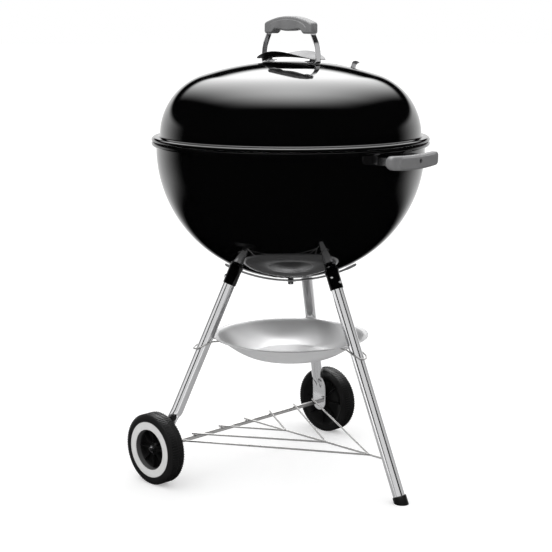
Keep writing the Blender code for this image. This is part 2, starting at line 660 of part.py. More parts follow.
def make_side_handles():
    """A nylon grip at each side, screwed to a steel bow that is welded to the bowl."""
    along_x = Matrix.Rotation(math.pi / 2, 4, "Y")
    upright = Matrix.Rotation(-math.pi / 2, 4, "X") @ Matrix.Scale(-1, 4, (0, 0, 1))
    wall = math.sqrt((BOWL_SIDE_X + BOWL_SIDE_R) ** 2 - BOW_HALF**2) + 0.0012
    path = [(wall, -BOW_HALF), (0.3000, -BOW_HALF), (BOW_X, -0.046)]
    path += [(x, -y) for x, y in path[::-1]]
    drill = [((0.29, GRIP_SCREW_Y, GRIP_Z), (0.3165, GRIP_SCREW_Y, GRIP_Z))]
    mouth = [((0.316, GRIP_SCREW_Y, GRIP_Z), (0.34, GRIP_SCREW_Y, GRIP_Z))]
    screw = [(0, 0.0192), (0.0030, 0.0188), (0.0038, 0.0178), (0.0038, 0.0163)]
    screw += [(0.0020, 0.0163), (0.0020, 0.0048), (0, 0.0048)]
    for name, turn in (("right", 0), ("left", math.pi)):
        place = Matrix.Rotation(turn + GRIP_TURN, 4, "Z")
        grip = piece(f"side_handle_grip_{name}", loft(side_grip_rings()), NYLON, None, place)
        cut(grip, rods(mouth, 0.0045, 12))
        cut(grip, rods(drill, 0.0025, 12))
        bow = strip(path, 0.0025, 0.016)
        stand = Matrix.Translation((0, 0, GRIP_Z)) @ upright
        bmesh.ops.transform(bow, matrix=stand, verts=bow.verts)
        bracket = piece(f"side_handle_bracket_{name}", bow, BRIGHT, None, place)
        cut(bracket, rods(drill, 0.0025, 12))
        lie = place @ Matrix.Translation((0.3, GRIP_SCREW_Y, GRIP_Z)) @ along_x
        piece(f"side_handle_screw_{name}", spin(screw, 12, closed=False), BRIGHT, None, lie)


def make_sweeper():
    """Shaft, blades, lever and cotter pin: they turn together under and inside the bowl."""
    hub = empty("sweep_axis", Matrix.Rotation(LEVER_TURN, 4, "Z"))
    collar = BOWL_BASE_Z - BOWL_BASE_R + SHEET + 0.001
    low = 0.4065
    turning = [(0, collar + 0.006), (0.010, collar + 0.005), (0.0160, collar + 0.003)]
    turning += [(0.0160, collar), (SHAFT_R, collar), (SHAFT_R, low + 0.001)]
    turning += [(SHAFT_R - 0.001, low), (0, low)]
    shaft = piece("sweep_shaft", spin(turning, 24, closed=False), BRIGHT, hub)
    pin_z = low + 0.0038
    cut(shaft, rods([((0, -0.02, pin_z), (0, 0.02, pin_z))], 0.0014, 8))
    for k, turn in enumerate(VENT_TURNS):
        blade = shell_patch(blade_surface(turn - LEVER_TURN), 4, 5)
        piece(f"sweep_blade_{k + 1}", blade, BRIGHT, hub)
    lever_r = BOWL_BASE_R + 0.0095
    path, widths = [], []
    for k in range(-8, 9):
        x = LEVER_REACH * k / 8
        path.append((x, BOWL_BASE_Z - math.sqrt(lever_r**2 - x * x)))
        widths.append(0.024 if abs(k) == 7 else 0.016 if abs(k) == 8 else 0.015)
    lever = piece("sweep_lever", strip(path, 0.002, widths), ALUMINIUM, hub)
    cut(lever, rods([((0, 0, 0.40), (0, 0, 0.43))], SHAFT_R + 0.0004, 16))
    loop = [(0, -0.010, pin_z), (0, 0.009, pin_z), (0.003, 0.0125, pin_z)]
    loop += [(0.009, 0.0110, pin_z), (0.0095, 0.0050, pin_z)]
    pin = bent_wire("cotter_pin", loop, 0.0009, BRIGHT)
    pin.parent = hub


def blade_surface(turn):
    """A blade's two faces, following the bowl's floor just above it."""
    ball = BOWL_BASE_R - SHEET - 0.0009

    def surface(u, v, side):
        a = turn + BLADE_HALF * (2 * v - 1)
        r = BLADE_IN + (BLADE_OUT - BLADE_IN) * u
        height = BOWL_BASE_Z - math.sqrt((ball - 0.001 * side) ** 2 - r * r)
        return Vector((r * math.cos(a), r * math.sin(a), height))

    return surface


lid_axis = empty("lid_axis", Matrix())
make_lid(lid_axis)
make_lid_damper(lid_axis)
make_lid_handle(lid_axis)
make_heat_shield(lid_axis)
make_bowl()
make_side_handles()
make_brackets()
make_grate("cooking_grate", COOKING_R, COOKING_Z, 0.066, 3)
make_grate("charcoal_grate", CHARCOAL_R, CHARCOAL_Z, 0.066, 2)
make_sweeper()
make_legs()
make_leg_cap()
make_wheels()
make_rack()
make_ash_pan()
make_pan_clips()
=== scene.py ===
"""Looks of a kettle charcoal grill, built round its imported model, in the same frame and in metres.

The sections follow the way the grill is put together: bowl, ash sweeper, grates, side grips,
lid with its vent and handle, legs, wheels, axle and rack, ash pan, and last the studio.
"""

import math

import bmesh
import bpy
from mathutils import Matrix, Vector


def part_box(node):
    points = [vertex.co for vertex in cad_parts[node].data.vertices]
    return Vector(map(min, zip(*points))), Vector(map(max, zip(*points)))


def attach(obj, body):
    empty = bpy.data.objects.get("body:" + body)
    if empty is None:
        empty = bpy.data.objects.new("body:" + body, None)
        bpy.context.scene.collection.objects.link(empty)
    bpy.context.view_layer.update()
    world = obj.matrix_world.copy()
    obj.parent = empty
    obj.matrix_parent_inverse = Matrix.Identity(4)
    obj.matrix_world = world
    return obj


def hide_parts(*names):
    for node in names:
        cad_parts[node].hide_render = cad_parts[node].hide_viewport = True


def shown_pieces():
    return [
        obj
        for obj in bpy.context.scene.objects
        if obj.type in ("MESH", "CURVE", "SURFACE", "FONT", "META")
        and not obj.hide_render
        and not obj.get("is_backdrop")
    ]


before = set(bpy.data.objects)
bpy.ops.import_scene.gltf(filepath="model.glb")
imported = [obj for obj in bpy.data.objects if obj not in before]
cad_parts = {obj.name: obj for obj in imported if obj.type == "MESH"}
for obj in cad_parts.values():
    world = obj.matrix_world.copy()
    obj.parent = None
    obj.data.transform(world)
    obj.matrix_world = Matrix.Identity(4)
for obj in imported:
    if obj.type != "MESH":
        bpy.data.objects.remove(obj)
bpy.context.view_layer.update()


# The bowl: half a kettle pressed from one steel sheet, its rim rolled outwards round a bead and
# three groups of ash slots cut in its floor. It is fired all over in glossy black enamel.
sheet = 0.0012
rim_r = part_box("bowl_shell")[1].x
bead_r = 0.005
bead_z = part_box("bowl_shell")[1].z - bead_r
side_r = 0.2676
side_x = 0.0093
side_z = 0.6945
base_r = 0.2838
base_z = 0.7078
shaft_hole_r = 0.0068
vent_turns = [math.radians(60 + 120 * k) for k in range(3)]
vent_gap = math.radians(9.5)
vent_reach = 0.075
vent_cut = (0.046, 0.007, 0.08)


def add(tree, kind, values=None, **settings):
    """Adds one node. A socket among its values is linked, and anything else is set."""
    made = tree.nodes.new(kind)
    for label, value in settings.items():
        setattr(made, label, value)
    for label, value in (values or {}).items():
        if isinstance(value, bpy.types.NodeSocket):
            tree.links.new(value, made.inputs[label])
        else:
            made.inputs[label].default_value = value
    return made


def open_tree(label, inputs):
    """A geometry tree with these named inputs. Returns it and their sockets."""
    tree = bpy.data.node_groups.new(label, "GeometryNodeTree")
    for socket, kind in inputs.items():
        tree.interface.new_socket(socket, in_out="INPUT", socket_type=f"NodeSocket{kind}")
    tree.interface.new_socket("Body", in_out="OUTPUT", socket_type="NodeSocketGeometry")
    return tree, add(tree, "NodeGroupInput").outputs


def close_tree(tree, body, finish):
    """Makes the copies real, gives them their finish, and ends the tree."""
    real = add(tree, "GeometryNodeRealizeInstances", {"Geometry": body})
    shown = add(tree, "GeometryNodeSetMaterial", {"Geometry": real.outputs[0], "Material": finish})
    add(tree, "NodeGroupOutput", {"Body": shown.outputs[0]})
    return tree


def grown(name, tree, mesh, inputs):
    """Runs a geometry tree on a mesh, and keeps its result as a plain mesh."""
    obj = bpy.data.objects.new(name, mesh)
    bpy.context.scene.collection.objects.link(obj)
    modifier = obj.modifiers.new("growth", "NODES")
    modifier.node_group = tree
    for item in tree.interface.items_tree:
        if item.name in inputs:
            modifier[item.identifier] = inputs[item.name]
    graph = bpy.context.evaluated_depsgraph_get()
    made = bpy.data.meshes.new_from_object(obj.evaluated_get(graph), depsgraph=graph)
    obj.modifiers.clear()
    obj.data = made
    return obj


def settled(obj, place=None, sharp_deg=35):
    """Merges doubles, turns faces outwards, keeps each point's own place, and then moves it."""
    bm = bmesh.new()
    bm.from_mesh(obj.data)
    bmesh.ops.remove_doubles(bm, verts=bm.verts, dist=2e-6)
    bmesh.ops.recalc_face_normals(bm, faces=bm.faces)
    own = bm.verts.layers.float_vector.new("own")
    for vert in bm.verts:
        vert[own] = vert.co
    bmesh.ops.transform(bm, matrix=place or Matrix(), verts=bm.verts)
    bm.to_mesh(obj.data)
    bm.free()
    obj.data.shade_smooth()
    obj.data.set_sharp_from_angle(angle=math.radians(sharp_deg))
    return obj


def edges_through(runs, closed=False):
    """A mesh of bare edges through each run of points."""
    points, edges = [], []
    for run in runs:
        first = len(points)
        points += [tuple(point) for point in run]
        edges += [(first + k, first + k + 1) for k in range(len(run) - 1)]
        if closed:
            edges.append((first + len(run) - 1, first))
    mesh = bpy.data.meshes.new("runs")
    mesh.from_pydata(points, edges, [])
    return mesh


def turning_tree():
    """Sweeps an outline, drawn from radius 1 inwards and downwards, round the Z axis."""
    tree, given = open_tree("turning", {"Outline": "Geometry", "Steps": "Int", "Finish": "Material"})
    outline = add(tree, "GeometryNodeMeshToCurve", {"Mesh": given["Outline"]})
    circle = add(tree, "GeometryNodeCurvePrimitiveCircle", {"Resolution": given["Steps"], "Radius": 1.0})
    body = add(
        tree,
        "GeometryNodeCurveToMesh",
        {"Curve": circle.outputs[0], "Profile Curve": outline.outputs[0]},
    )
    return close_tree(tree, body.outputs[0], given["Finish"])


turning = turning_tree()


def turned(name, outline, finish, steps=144, place=None, closed=True):
    """A turned piece from its (radius, height) outline. An open outline ends on the axis."""
    flat = edges_through([[(radius - 1, -height, 0) for radius, height in outline]], closed)
    return settled(grown(name, turning, flat, {"Steps": steps, "Finish": finish}), place)


def arc(x, z, radius, start_deg, end_deg, steps):
    """Points of an arc, its angles from +X towards +Z."""
    turns = [math.radians(start_deg + (end_deg - start_deg) * k / steps) for k in range(steps + 1)]
    return [(x + radius * math.cos(a), z + radius * math.sin(a)) for a in turns]


def joined(name, meshes, finish):
    """One closed helper or piece out of a bmesh."""
    mesh = bpy.data.meshes.new(name)
    meshes.to_mesh(mesh)
    meshes.free()
    mesh.materials.append(finish)
    obj = bpy.data.objects.new(name, mesh)
    bpy.context.scene.collection.objects.link(obj)
    return obj


def blocks(sizes):
    """Boxes in one bmesh, each given as (centre, size, matrix)."""
    bm = bmesh.new()
    for centre, size, place in sizes:
        lie = place @ Matrix.Translation(centre) @ Matrix.Diagonal((*size, 1))
        bmesh.ops.create_cube(bm, size=1, matrix=lie)
    return bm


def carved(obj, tool):
    """Cuts a bmesh tool out of a piece and keeps the result as a plain mesh."""
    cutter = joined("cutter", tool, obj.data.materials[0])
    modifier = obj.modifiers.new("cut", "BOOLEAN")
    modifier.solver = "EXACT"
    modifier.object = cutter
    graph = bpy.context.evaluated_depsgraph_get()
    made = bpy.data.meshes.new_from_object(obj.evaluated_get(graph), depsgraph=graph)
    obj.modifiers.clear()
    obj.data = made
    bpy.data.objects.remove(cutter)
    made.shade_smooth()
    made.set_sharp_from_angle(angle=math.radians(35))
    return obj


def fit(obj, body, slot, *nodes):
    """Hangs a finished piece on its body and hides the nodes it stands for. Its slot is not used."""
    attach(obj, body)
    if nodes:
        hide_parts(*nodes)
    return obj


def plain_finish(name, colour, metallic, roughness, **more):
    """A Principled finish. Numbers that hold all over are set on the shader's own sockets."""
    made = bpy.data.materials.new(name)
    made.use_nodes = True
    tree = made.node_tree
    shader = tree.nodes["Principled BSDF"]
    shader.inputs["Base Color"].default_value = (*colour, 1)
    shader.inputs["Metallic"].default_value = metallic
    shader.inputs["Roughness"].default_value = roughness
    for label, value in more.items():
        shader.inputs[label.replace("_", " ")].default_value = value
    return made, tree, shader


def ranged(tree, value, low, high, start=0.3, end=0.7):
    """Spreads a texture's middle values over a range."""
    limits = {"From Min": start, "From Max": end, "To Min": low, "To Max": high}
    return add(tree, "ShaderNodeMapRange", {"Value": value, **limits}).outputs["Result"]


def shaded(tree, factor, dark, light):
    """A colour that runs from dark to light with a factor."""
    ramp = add(tree, "ShaderNodeValToRGB", {"Fac": factor})
    ramp.color_ramp.elements[0].color = (*dark, 1)
    ramp.color_ramp.elements[1].color = (*light, 1)
    return ramp.outputs["Color"]


def dented(tree, shader, height, depth, strength=1.0):
    """Bumps a finish by a height pattern, its depth in metres."""
    bump = add(tree, "ShaderNodeBump", {"Height": height, "Distance": depth, "Strength": strength})
    tree.links.new(bump.outputs["Normal"], shader.inputs["Normal"])


def vitreous_enamel():
    """Glass fused to steel: nearly a mirror, with faint orange peel and a haze of fine dust."""
    made, tree, shader = plain_finish("black_enamel", (0.0035, 0.0035, 0.0038), 0, 0.05, IOR=1.7)
    spot = add(tree, "ShaderNodeTexCoord").outputs["Object"]
    haze = add(tree, "ShaderNodeTexNoise", {"Vector": spot, "Scale": 7.0, "Detail": 6.0})
    peel = add(tree, "ShaderNodeTexNoise", {"Vector": spot, "Scale": 130.0, "Detail": 2.0})
    specks = add(tree, "ShaderNodeTexVoronoi", {"Vector": spot, "Scale": 160.0})
    tree.links.new(ranged(tree, haze.outputs["Fac"], 0.035, 0.075), shader.inputs["Roughness"])
    dust = ranged(tree, specks.outputs["Distance"], 1.0, 0.0, 0.02, 0.05)
    black, fleck = (0.0012, 0.0012, 0.0013), (0.006, 0.006, 0.0065)
    tree.links.new(shaded(tree, dust, black, fleck), shader.inputs["Base Color"])
    dented(tree, shader, peel.outputs["Fac"], 0.00002, 0.25)
    return made


enamel = vitreous_enamel()


def bowl_outline():
    """Up the outer face, round the bead, and down the inner face."""
    axis_deg = -90 + math.degrees(math.asin(shaft_hole_r / base_r))
    join_deg = -math.degrees(math.asin((base_z - side_z) / (base_r - side_r)))
    wall = side_x + side_r
    outer = arc(0, base_z, base_r, axis_deg, join_deg, 34)
    outer += arc(side_x, side_z, side_r, join_deg, 0, 30)[1:]
    bead = [(wall + 0.0003, bead_z - 0.0058)]
    bead += arc(rim_r - bead_r, bead_z, bead_r, -80, 90, 18)
    lip = [(wall - sheet + 0.0012, bead_z + bead_r), (wall - sheet + 0.0003, bead_z + bead_r - 0.0005)]
    lip.append((wall - sheet, bead_z + bead_r - 0.0015))
    inner = arc(side_x, side_z, side_r - sheet, 0, join_deg, 30)
    inner += arc(0, base_z, base_r - sheet, join_deg, axis_deg, 34)[1:]
    return outer + bead + lip + inner


def make_bowl():
    bowl = turned("kettle_bowl", bowl_outline(), enamel, 192)
    slots = []
    for turn in vent_turns:
        for side in (-1, 0, 1):
            swing = Matrix.Rotation(turn + side * vent_gap, 4, "Z")
            slots.append(((vent_reach, 0, 0.45), vent_cut, swing))
    return carved(bowl, blocks(slots))


fit(make_bowl(), "base", "enamel", "bowl_shell")


# The ash sweeper: three spring-steel blades on a shaft through the bowl's floor, turned from
# below by a long bowed aluminium lever, and held by a washer and a bent cotter pin.
lever_turn = math.radians(44.5)
lever_reach = 0.138
blade_half = math.radians(16)
blade_in = 0.0166
blade_out = 0.108
shaft_r = 0.006
shaft_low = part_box("sweep_shaft")[0].z
floor_z = base_z - base_r + sheet


def drawn_steel(name, colour, roughness, pull=0.02, depth=0.000004):
    """Bright steel with fine lines drawn along its own Z, and soft smears of wear."""
    made, tree, shader = plain_finish(name, colour, 1, roughness)
    own = add(tree, "ShaderNodeAttribute", attribute_name="own").outputs["Vector"]
    run = add(tree, "ShaderNodeMapping", {"Vector": own, "Scale": (1, 1, pull)})
    lines = add(tree, "ShaderNodeTexNoise", {"Vector": run.outputs[0], "Scale": 900.0, "Detail": 3.0})
    spot = add(tree, "ShaderNodeTexCoord").outputs["Object"]
    smear = add(tree, "ShaderNodeTexNoise", {"Vector": spot, "Scale": 24.0, "Detail": 4.0})
    level = ranged(tree, smear.outputs["Fac"], roughness * 0.75, roughness * 1.5)
    tree.links.new(level, shader.inputs["Roughness"])
    dark = tuple(c * 0.86 for c in colour)
    tree.links.new(shaded(tree, lines.outputs["Fac"], dark, colour), shader.inputs["Base Color"])
    dented(tree, shader, lines.outputs["Fac"], depth, 0.4)
    return made


def spun_aluminium(name, colour, roughness, metallic=1):
    """Aluminium brushed on a lathe: rings round its own Z, and highlights that fan out from it."""
    made, tree, shader = plain_finish(name, colour, metallic, roughness, Anisotropic=0.55)
    own = add(tree, "ShaderNodeAttribute", attribute_name="own").outputs["Vector"]
    flat = add(tree, "ShaderNodeVectorMath", {0: own, 1: (1, 1, 0)}, operation="MULTIPLY")
    reach = add(tree, "ShaderNodeVectorMath", {0: flat.outputs[0]}, operation="LENGTH")
    height = add(tree, "ShaderNodeSeparateXYZ", {0: own}).outputs["Z"]
    ring = add(tree, "ShaderNodeCombineXYZ", {"X": reach.outputs["Value"], "Z": height})
    lines = add(tree, "ShaderNodeTexNoise", {"Vector": ring.outputs[0], "Scale": 1400.0, "Detail": 3.0})
    spot = add(tree, "ShaderNodeTexCoord").outputs["Object"]
    smear = add(tree, "ShaderNodeTexNoise", {"Vector": spot, "Scale": 16.0, "Detail": 4.0})
    level = ranged(tree, smear.outputs["Fac"], roughness * 0.85, roughness * 1.25)
    tree.links.new(level, shader.inputs["Roughness"])
    dark = tuple(c * 0.9 for c in colour)
    tree.links.new(shaded(tree, lines.outputs["Fac"], dark, colour), shader.inputs["Base Color"])
    fan = add(tree, "ShaderNodeTangent", direction_type="RADIAL", axis="Z")
    tree.links.new(fan.outputs[0], shader.inputs["Tangent"])
    dented(tree, shader, lines.outputs["Fac"], 0.000008, 0.5)
    return made


blade_steel = drawn_steel("blade_steel", (0.42, 0.42, 0.43), 0.32, 1.0, 0.00001)
bright_steel = drawn_steel("bright_steel", (0.76, 0.76, 0.77), 0.17)
satin_sheet = spun_aluminium("satin_sheet", (0.42, 0.42, 0.43), 0.3)
# The shield's aluminium is given a far darker colour than the lever's: painted shade, which holds down its
# reflection of the bright overhead panel.
shield_sheet = spun_aluminium("shield_sheet", (0.115, 0.115, 0.117), 0.38)


def slab(surface, across, along):
    """A closed thin slab between surface(u, v, 0) and surface(u, v, 1)."""
    bm = bmesh.new()
    sides = []
    for side in (0, 1):
        rows = [
            [bm.verts.new(surface(i / along, j / across, side)) for j in range(across + 1)]
            for i in range(along + 1)
        ]
        sides.append(rows)
        for low, high in zip(rows, rows[1:]):
            for j in range(across):
                bm.faces.new((low[j], high[j], high[j + 1], low[j + 1]))
    top, bottom = sides
    rim = [(i, 0) for i in range(along)] + [(along, j) for j in range(across)]
    rim += [(i, across) for i in range(along, 0, -1)] + [(0, j) for j in range(across, 0, -1)]
    for (i, j), (p, q) in zip(rim, rim[1:] + rim[:1]):
        bm.faces.new((top[i][j], top[p][q], bottom[p][q], bottom[i][j]))
    return bm


def rounded(half_a, half_b, corner, per_side=4, per_corner=4):
    """Points (a, b) of a rectangle with round corners, its sides divided evenly."""
    points = []
    signs = ((1, 1), (-1, 1), (-1, -1), (1, -1))
    for quarter, (sa, sb) in enumerate(signs):
        centre = Vector((sa * (half_a - corner), sb * (half_b - corner)))
        for k in range(per_corner + 1):
            a = math.radians(90 * (quarter + k / per_corner))
            points.append(centre + corner * Vector((math.cos(a), math.sin(a))))
        na, nb = signs[(quarter + 1) % 4]
        a = math.radians(90 * (quarter + 1))
        ahead = Vector((na * (half_a - corner), nb * (half_b - corner)))
        ahead += corner * Vector((math.cos(a), math.sin(a)))
        last = points[-1]
        points += [last.lerp(ahead, k / per_side) for k in range(1, per_side)]
    return points


def skinned(rings):
    """Skins rings of equal count, one after the other, and caps both ends."""
    bm = bmesh.new()
    rows = [[bm.verts.new(point) for point in ring] for ring in rings]
    count = len(rows[0])
    for low, high in zip(rows, rows[1:]):
        for k in range(count):
            bm.faces.new((low[k], low[(k + 1) % count], high[(k + 1) % count], high[k]))
    bm.faces.new(rows[0])
    bm.faces.new(rows[-1])
    return bm


def softened(path, parts=6):
    """A smooth curve through the points of a path."""
    path = [Vector(point) for point in path]
    ends = [2 * path[0] - path[1]] + path + [2 * path[-1] - path[-2]]
    smooth = []
    for a, b, c, d in zip(ends, ends[1:], ends[2:], ends[3:]):
        for k in range(parts):
            t = k / parts
            smooth.append(0.5 * (2 * b + (c - a) * t + (2 * a - 5 * b + 4 * c - d) * t**2
                                 + (3 * b - a - 3 * c + d) * t**3))
    return smooth + [path[-1]]


def swept(path, across, half_thick, half_widths, corner):
    """A flat bar along a planar path: across is the direction of its width."""
    path = [Vector(point) for point in path]
    across = Vector(across)
    if not isinstance(half_widths, list):
        half_widths = [half_widths] * len(path)
    rings = []
    for k, spot in enumerate(path):
        run = (path[min(k + 1, len(path) - 1)] - path[max(k - 1, 0)]).normalized()
        side = run.cross(across)
        section = rounded(half_thick, half_widths[k], corner)
        rings.append([spot + side * a + across * b for a, b in section])
    return skinned(rings)


def wire_tree():
    """A round wire along each run of edges, its bends filleted and its ends capped."""
    inputs = {"Runs": "Geometry", "Bend": "Float", "Radius": "Float", "Sides": "Int", "Finish": "Material"}
    tree, given = open_tree("wire", inputs)
    run = add(tree, "GeometryNodeMeshToCurve", {"Mesh": given["Runs"]})
    bent = add(
        tree,
        "GeometryNodeFilletCurve",
        {"Curve": run.outputs[0], "Radius": given["Bend"], "Count": 6, "Limit Radius": True},
        mode="POLY",
    )
    circle = {"Resolution": given["Sides"], "Radius": given["Radius"]}
    section = add(tree, "GeometryNodeCurvePrimitiveCircle", circle)
    ends = {"Curve": bent.outputs[0], "Profile Curve": section.outputs[0], "Fill Caps": True}
    body = add(tree, "GeometryNodeCurveToMesh", ends)
    return close_tree(tree, body.outputs[0], given["Finish"])


wiring = wire_tree()


def wired(name, runs, radius, finish, bend=0.0, place=None, sides=16):
    inputs = {"Bend": bend, "Radius": radius, "Sides": sides, "Finish": finish}
    return settled(grown(name, wiring, edges_through(runs), inputs), place, 50)


def make_sweeper():
    swing = Matrix.Rotation(lever_turn, 4, "Z")
    collar = floor_z + 0.001
    outline = [(0, collar + 0.0062), (0.006, collar + 0.006), (0.0092, collar + 0.0054)]
    outline += [(0.0104, collar + 0.0042), (0.0135, collar + 0.0034), (0.0158, collar + 0.0028)]
    outline += [(0.016, collar), (shaft_r, collar), (shaft_r, shaft_low + 0.001)]
    outline += [(shaft_r - 0.001, shaft_low), (0, shaft_low)]
    shaft = turned("sweeper_shaft", outline, blade_steel, 48, swing, closed=False)
    fit(shaft, "sweeper", "bright_steel", "sweep_shaft")
    top_r = base_r - sheet - 0.0009
    for k, turn in enumerate(vent_turns):

        def blade(u, v, side):
            a = turn - lever_turn + blade_half * (2 * v - 1)
            reach = blade_in + (blade_out - blade_in) * u
            ball = top_r - 0.001 * side
            height = base_z - math.sqrt(ball**2 - reach**2)
            return Vector((reach * math.cos(a), reach * math.sin(a), height))

        piece = settled(joined(f"sweeper_blade_{k + 1}", slab(blade, 12, 24), blade_steel), swing)
        fit(piece, "sweeper", "bright_steel", f"sweep_blade_{k + 1}")
    ball = base_r + 0.0095
    path, widths = [], []
    for k in range(-48, 49):
        x = lever_reach * k / 48
        near_tip = abs(x) - (lever_reach - 0.024)
        width = 0.0074
        if near_tip > 0:
            paddle = min(1.0, near_tip / 0.007)
            width += 0.0044 * paddle * paddle * (3 - 2 * paddle)
        rest = lever_reach - abs(x)
        if rest < 0.008:
            width *= 0.45 + 0.55 * math.sqrt(1 - (1 - rest / 0.008) ** 2)
        path.append((x, 0, base_z - math.sqrt(ball**2 - x * x)))
        widths.append(width)
    lever = joined("sweeper_lever", swept(path, (0, 1, 0), 0.00098, widths, 0.0006), satin_sheet)
    fit(settled(lever, swing), "sweeper", "aluminium", "sweep_lever")
    pin_z = shaft_low + 0.0038
    loop = [(0, -0.01, pin_z), (0, 0.009, pin_z), (0.003, 0.0125, pin_z)]
    loop += [(0.009, 0.011, pin_z), (0.0095, 0.005, pin_z)]
    pin = wired("sweeper_pin", [loop], 0.0009, bright_steel, 0.003, swing, 10)
    fit(pin, "sweeper", "bright_steel", "cotter_pin")


make_sweeper()


# The two grates: steel wires welded across a wire ring and plated in dull nickel. The coals lie
# on the lower, coarser one, and food on the upper, which rests on four small angles.
grate_wire_r = 0.003
grates = {
    "cooking_grate": {"radius": 0.2695, "rods": 37, "spacing": 0.0142, "rod": 0.0022},
    "charcoal_grate": {"radius": 0.212, "rods": 17, "spacing": 0.024, "rod": 0.0028},
}


def plated_wire():
    """Nickel over drawn wire: dull, slightly yellowed, mottled where it was handled."""
    made, tree, shader = plain_finish("plated_wire", (0.5, 0.49, 0.48), 1, 0.3)
    spot = add(tree, "ShaderNodeTexCoord").outputs["Object"]
    mottle = add(tree, "ShaderNodeTexNoise", {"Vector": spot, "Scale": 60.0, "Detail": 6.0})
    pits = add(tree, "ShaderNodeTexNoise", {"Vector": spot, "Scale": 900.0, "Detail": 2.0})
    dark, light = (0.34, 0.335, 0.33), (0.56, 0.555, 0.55)
    tree.links.new(shaded(tree, mottle.outputs["Fac"], dark, light), shader.inputs["Base Color"])
    level = ranged(tree, mottle.outputs["Fac"], 0.24, 0.42)
    tree.links.new(level, shader.inputs["Roughness"])
    dented(tree, shader, pits.outputs["Fac"], 0.00003, 0.5)
    return made


nickel = plated_wire()


def grate_tree():
    """A wire ring, rods of chord length across it, and two stiffer rods under those."""
    inputs = {"Radius": "Float", "Ring": "Float", "Rods": "Int", "Spacing": "Float"}
    inputs |= {"Rod": "Float", "Finish": "Material"}
    tree, given = open_tree("grate", inputs)

    def maths(operation, *values):
        numbered = dict(enumerate(values))
        return add(tree, "ShaderNodeMath", numbered, operation=operation).outputs[0]

    def rods(count, spacing, height):
        span = maths("MULTIPLY", maths("SUBTRACT", count, 1.0), spacing)
        start = add(tree, "ShaderNodeCombineXYZ", {"X": maths("MULTIPLY", span, -0.5), "Z": height})
        step = add(tree, "ShaderNodeCombineXYZ", {"X": spacing})
        ends = {"Count": count, "Start Location": start.outputs[0], "Offset": step.outputs[0]}
        line = add(tree, "GeometryNodeMeshLine", ends)
        where = add(tree, "GeometryNodeInputPosition").outputs[0]
        x = add(tree, "ShaderNodeSeparateXYZ", {0: where}).outputs["X"]
        room = maths("SUBTRACT", maths("MULTIPLY", given["Radius"], given["Radius"]), maths("MULTIPLY", x, x))
        half = maths("SQRT", room)
        rod = add(tree, "GeometryNodeMeshCylinder", {"Vertices": 12, "Radius": 1.0, "Depth": 2.0})
        size = add(tree, "ShaderNodeCombineXYZ", {"X": given["Rod"], "Y": given["Rod"], "Z": half})
        placed = {"Points": line.outputs[0], "Instance": rod.outputs[0], "Scale": size.outputs[0]}
        placed["Rotation"] = (math.pi / 2, 0, 0)
        return add(tree, "GeometryNodeInstanceOnPoints", placed).outputs[0]

    circle = add(tree, "GeometryNodeCurvePrimitiveCircle", {"Resolution": 160, "Radius": given["Radius"]})
    section = add(tree, "GeometryNodeCurvePrimitiveCircle", {"Resolution": 16, "Radius": given["Ring"]})
    bent = {"Curve": circle.outputs[0], "Profile Curve": section.outputs[0]}
    ring = add(tree, "GeometryNodeCurveToMesh", bent).outputs[0]
    across = rods(given["Rods"], given["Spacing"], 0.0003)
    under = rods(2, maths("MULTIPLY", given["Radius"], 0.8), maths("MULTIPLY", given["Rod"], -1.2))
    turned_under = add(tree, "GeometryNodeTransform", {0: under, "Rotation": (0, 0, math.pi / 2)})
    whole = add(tree, "GeometryNodeJoinGeometry")
    for part in (ring, across, turned_under.outputs[0]):
        tree.links.new(part, whole.inputs[0])
    return close_tree(tree, whole.outputs[0], given["Finish"])


grate_growth = grate_tree()
for name, size in grates.items():
    low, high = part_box(name)
    inputs = {"Radius": size["radius"], "Ring": grate_wire_r, "Rods": size["rods"]}
    inputs |= {"Spacing": size["spacing"], "Rod": size["rod"], "Finish": nickel}
    level = Matrix.Translation((0, 0, high.z - grate_wire_r))
    grate = grown(f"{name}_wires", grate_growth, bpy.data.meshes.new(name), inputs)
    fit(settled(grate, level, 50), name, "plated_wire", name)


def make_brackets():
    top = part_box("grate_bracket_1")[1].z - 0.0008
    path = [(0.2575, 0, top), (0.264, 0, top), (0.269, 0, top)]
    path += [(0.27, 0, top - 0.0004), (0.2705, 0, top - 0.0016), (0.2705, 0, 0.664)]
    for k in range(4):
        turn = Matrix.Rotation(math.radians(45 + 90 * k), 4, "Z")
        angle = joined(f"grate_angle_{k + 1}", swept(path, (0, 1, 0), 0.00072, 0.0098, 0.0004), nickel)
        fit(settled(angle, turn), "base", "bright_steel", f"grate_bracket_{k + 1}")


make_brackets()


# The side grips: grey glass-filled nylon, each with a raised pad and one screw that pulls it onto
# a bright steel bow, welded to the bowl under the rim.
grip_turn = math.radians(2.5)
grip_out = 0.328
grip_in = 0.3085
grip_half = 0.0755
grip_z = 0.689
grip_screw_y = 0.0095
pad_lift = 0.0012


def moulded_nylon():
    """Mid-grey nylon with a fine spark-eroded grain, a little lighter where fibres show."""
    made, tree, shader = plain_finish("grey_nylon", (0.13, 0.13, 0.132), 0, 0.5, IOR=1.53)
    spot = add(tree, "ShaderNodeTexCoord").outputs["Object"]
    grain = add(tree, "ShaderNodeTexNoise", {"Vector": spot, "Scale": 1500.0, "Detail": 3.0})
    flow = add(tree, "ShaderNodeTexNoise", {"Vector": spot, "Scale": 55.0, "Detail": 5.0})
    dark, light = (0.105, 0.105, 0.107), (0.15, 0.15, 0.152)
    tree.links.new(shaded(tree, flow.outputs["Fac"], dark, light), shader.inputs["Base Color"])
    tree.links.new(ranged(tree, flow.outputs["Fac"], 0.38, 0.56), shader.inputs["Roughness"])
    dented(tree, shader, grain.outputs["Fac"], 0.00006, 0.5)
    return made


nylon = moulded_nylon()


